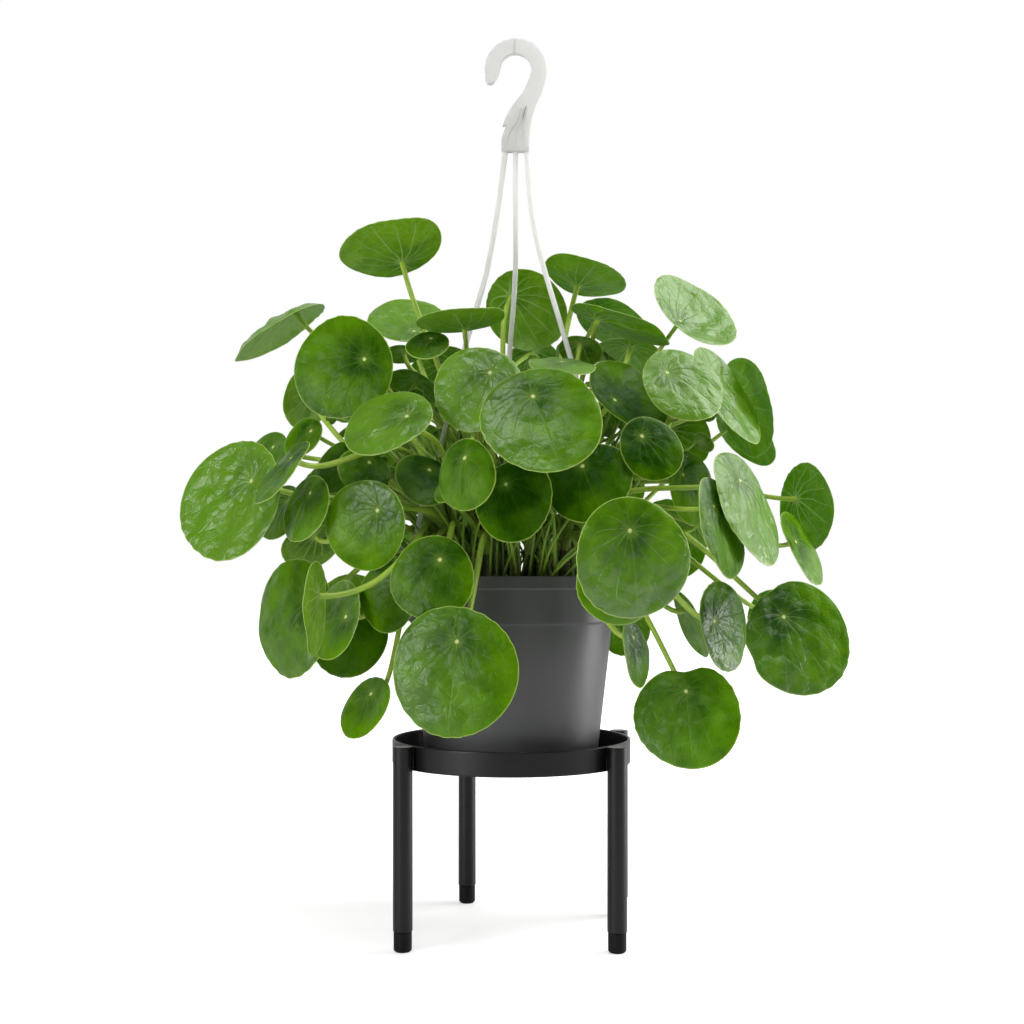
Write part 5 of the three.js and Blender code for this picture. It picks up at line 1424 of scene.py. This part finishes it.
def addPlant():
    blades = placeBlades()
    lines = routePetioles(blades)
    print("leaves laid out:", len(blades))
    big = len(blades)
    blades += growYoung(blades, lines)
    print("young leaves in the crown:", len(blades) - big)
    rng = np.random.default_rng(foliage["petioleSeed"])
    for letter, (x, y, height) in stems.items():
        mine = [k for k, blade in enumerate(blades) if blade["stem"] == letter]
        sheets = [bladeSheet(blades[k], k) for k in mine]
        stalks, widths = [], []
        for k in mine:
            line = lines[k][1].copy()
            arrive = unit(line[-1] - line[-3])
            tilt = math.sqrt(max(0, 1 - float(arrive @ blades[k]["normal"]) ** 2))
            line[-1] -= blades[k]["normal"] * (0.25 + (2.2 if k < big else 1.1) * tilt)
            stalks.append(line)
            widths.append(0.86 + 0.18 * rng.random())
        grownUp = sum(k < big for k in mine)
        petioles = grown("petioles", curveCarrier(stalks[:grownUp], widths[:grownUp]), stalkMaker, {
            "First Radius": foliage["petioleFoot"] * mm, "Last Radius": foliage["petioleTip"] * mm,
            "Foot Swell": 0.25, "Tip Swell": 0.22, "Spacing": foliage["petioleSpacing"] * mm,
            "Sides": foliage["petioleSides"], "Finish": stalkSkin})
        shoots = grown("shoots", curveCarrier(stalks[grownUp:], widths[grownUp:]), stalkMaker, {
            "First Radius": foliage["youngFoot"] * mm, "Last Radius": foliage["youngTip"] * mm,
            "Foot Swell": 0.3, "Tip Swell": 0.2, "Spacing": foliage["youngSpacing"] * mm,
            "Sides": foliage["youngSides"], "Finish": shadedShootSkin})
        up = np.linspace(0, 1, 24)
        sway = 0.8 * np.sin(up * 9 + x)    # an old stem isn't quite straight
        top = layout["soilTop"] + height - 0.6
        axis = np.column_stack([x + sway * up, y + sway * up,
                                foliage["stemFoot"] + (top - foliage["stemFoot"]) * up])
        stem = grown("stem", curveCarrier([axis]), stalkMaker, {
            "First Radius": foliage["stemRadius"] * mm, "Last Radius": foliage["stemTopRadius"] * mm,
            "Foot Swell": 0.0, "Tip Swell": -0.4, "Spacing": foliage["stemSpacing"] * mm,
            "Sides": foliage["stemSides"], "Finish": stemSkin})
        piece = joined("leafyStem", [bladesMesh("blades", sheets), petioles, shoots, stem])
        setPiece("leafyStem_" + letter, piece, "leafy_stem_" + letter)
    print("plant ready")


# floor, light and camera
studio = {
    "eyeAcross": 0.5, "eyeBack": 1050, "eyeUp": 268.8, "rise": 60 / 1024, "lens": 49.22,
    "floorSize": 20.0, "floorTone": "#c4c4c3", "floorSheen": "#f7f7f6", "floorGlow": (0.47, 1.0),
    "frontLight": 0.04, "backLight": 1.1, "aim": (0, 0, 0.3),
    # where each soft light stands (m), its width (m) and its radiant power (W)
    "lights": {
        "keyAbove": ((0.1, -1.1, 2.2), 1.3, 27), "topRight": ((1.8, 0.3, 1.9), 2.2, 56),
        "lowLeft": ((-1.45, -1.35, 0.6), 0.9, 19), "stripRight": ((1.6, 0.35, 0.25), 0.5, 11),
    },
}


def addStudio():
    bpy.context.scene.view_settings.view_transform = "Standard"
    world = bpy.data.worlds.new("softRoom")
    bpy.context.scene.world = world
    world.use_nodes = True
    tree = world.node_tree
    tree.nodes.clear()
    seen = addNode(tree, "ShaderNodeLightPath").outputs["Is Camera Ray"]
    # the room is dim behind the camera and light behind the plant
    way = addNode(tree, "ShaderNodeTexCoord").outputs["Generated"]
    depth = addNode(tree, "ShaderNodeSeparateXYZ", None, {0: way}).outputs["Y"]
    level = addNode(tree, "ShaderNodeMapRange", {"interpolation_type": "SMOOTHSTEP"},
                    {"Value": depth, "From Min": 0.0, "From Max": 0.9, "To Min": studio["frontLight"],
                     "To Max": studio["backLight"]})
    room = addNode(tree, "ShaderNodeBackground", None,
                   {"Color": linear("#ffffff"), "Strength": level.outputs[0]})
    white = addNode(tree, "ShaderNodeBackground", None, {"Color": linear("#ffffff"), "Strength": 1.0})
    both = addNode(tree, "ShaderNodeMixShader", None, {0: seen, 1: room.outputs[0], 2: white.outputs[0]})
    addNode(tree, "ShaderNodeOutputWorld", None, {"Surface": both.outputs[0]})

    finish, tree, shader = newFinish("paleFloor")   # a painted studio floor, matt and even
    place = addNode(tree, "ShaderNodeTexCoord").outputs["Object"]
    cloud = addNode(tree, "ShaderNodeTexNoise", None, {"Vector": place, "Scale": 3.0, "Detail": 2.0})
    shade = addNode(tree, "ShaderNodeMix", {"data_type": "RGBA"},
                    {0: cloud.outputs["Fac"], 6: linear(studio["floorTone"]),
                     7: linear(studio["floorSheen"])})
    tree.links.new(shade.outputs[2], shader.inputs["Base Color"])
    shader.inputs["Roughness"].default_value = 0.7
    shader.inputs["Emission Color"].default_value = (1, 1, 1, 1)
    # painted light: a glow that only the eye sees, weaker near the stand, which leaves a painted soft shade
    # round it
    seen = addNode(tree, "ShaderNodeLightPath").outputs["Is Camera Ray"]
    away = addNode(tree, "ShaderNodeVectorMath", {"operation": "LENGTH"}, {0: place}).outputs["Value"]
    through = addNode(tree, "ShaderNodeMapRange", {"interpolation_type": "SMOOTHSTEP"},
                      {"Value": away, "From Min": 0.2, "From Max": 1.2, "To Min": studio["floorGlow"][0],
                       "To Max": studio["floorGlow"][1]})
    glow = addNode(tree, "ShaderNodeMath", {"operation": "MULTIPLY"}, {0: seen, 1: through.outputs[0]})
    tree.links.new(glow.outputs[0], shader.inputs["Emission Strength"])
    half = studio["floorSize"] / 2 / mm
    floor = bpy.data.objects.new("floor", makeMesh(
        "floor", [(-half, -half, 0), (half, -half, 0), (half, half, 0), (-half, half, 0)],
        [np.array([(0, 1, 2, 3)])], [finish]))
    bpy.context.scene.collection.objects.link(floor)

    for name, (place, width, power) in studio["lights"].items():
        lamp = bpy.data.lights.new(name, "AREA")
        lamp.shape = "DISK"
        lamp.size = width
        lamp.energy = power
        holder = bpy.data.objects.new(name, lamp)
        holder.location = place
        toPlant = Vector(studio["aim"]) - Vector(place)
        holder.rotation_euler = toPlant.to_track_quat("-Z", "Y").to_euler()
        holder.visible_camera = False
        bpy.context.scene.collection.objects.link(holder)

    eye = bpy.data.objects.new("eye", bpy.data.cameras.new("eye"))
    eye.data.lens = studio["lens"]
    eye.data.sensor_width = 36
    eye.location = (studio["eyeAcross"] * mm, -studio["eyeBack"] * mm, studio["eyeUp"] * mm)
    eye.rotation_euler = (math.radians(90), 0, 0)
    eye.data.shift_y = studio["rise"]      # the photograph's horizon is a little below its middle
    bpy.context.scene.collection.objects.link(eye)
    bpy.context.scene.camera = eye
    print("studio ready")


addStand()
addPot()
addSoil()
addHanger()
addPlant()
addStudio()
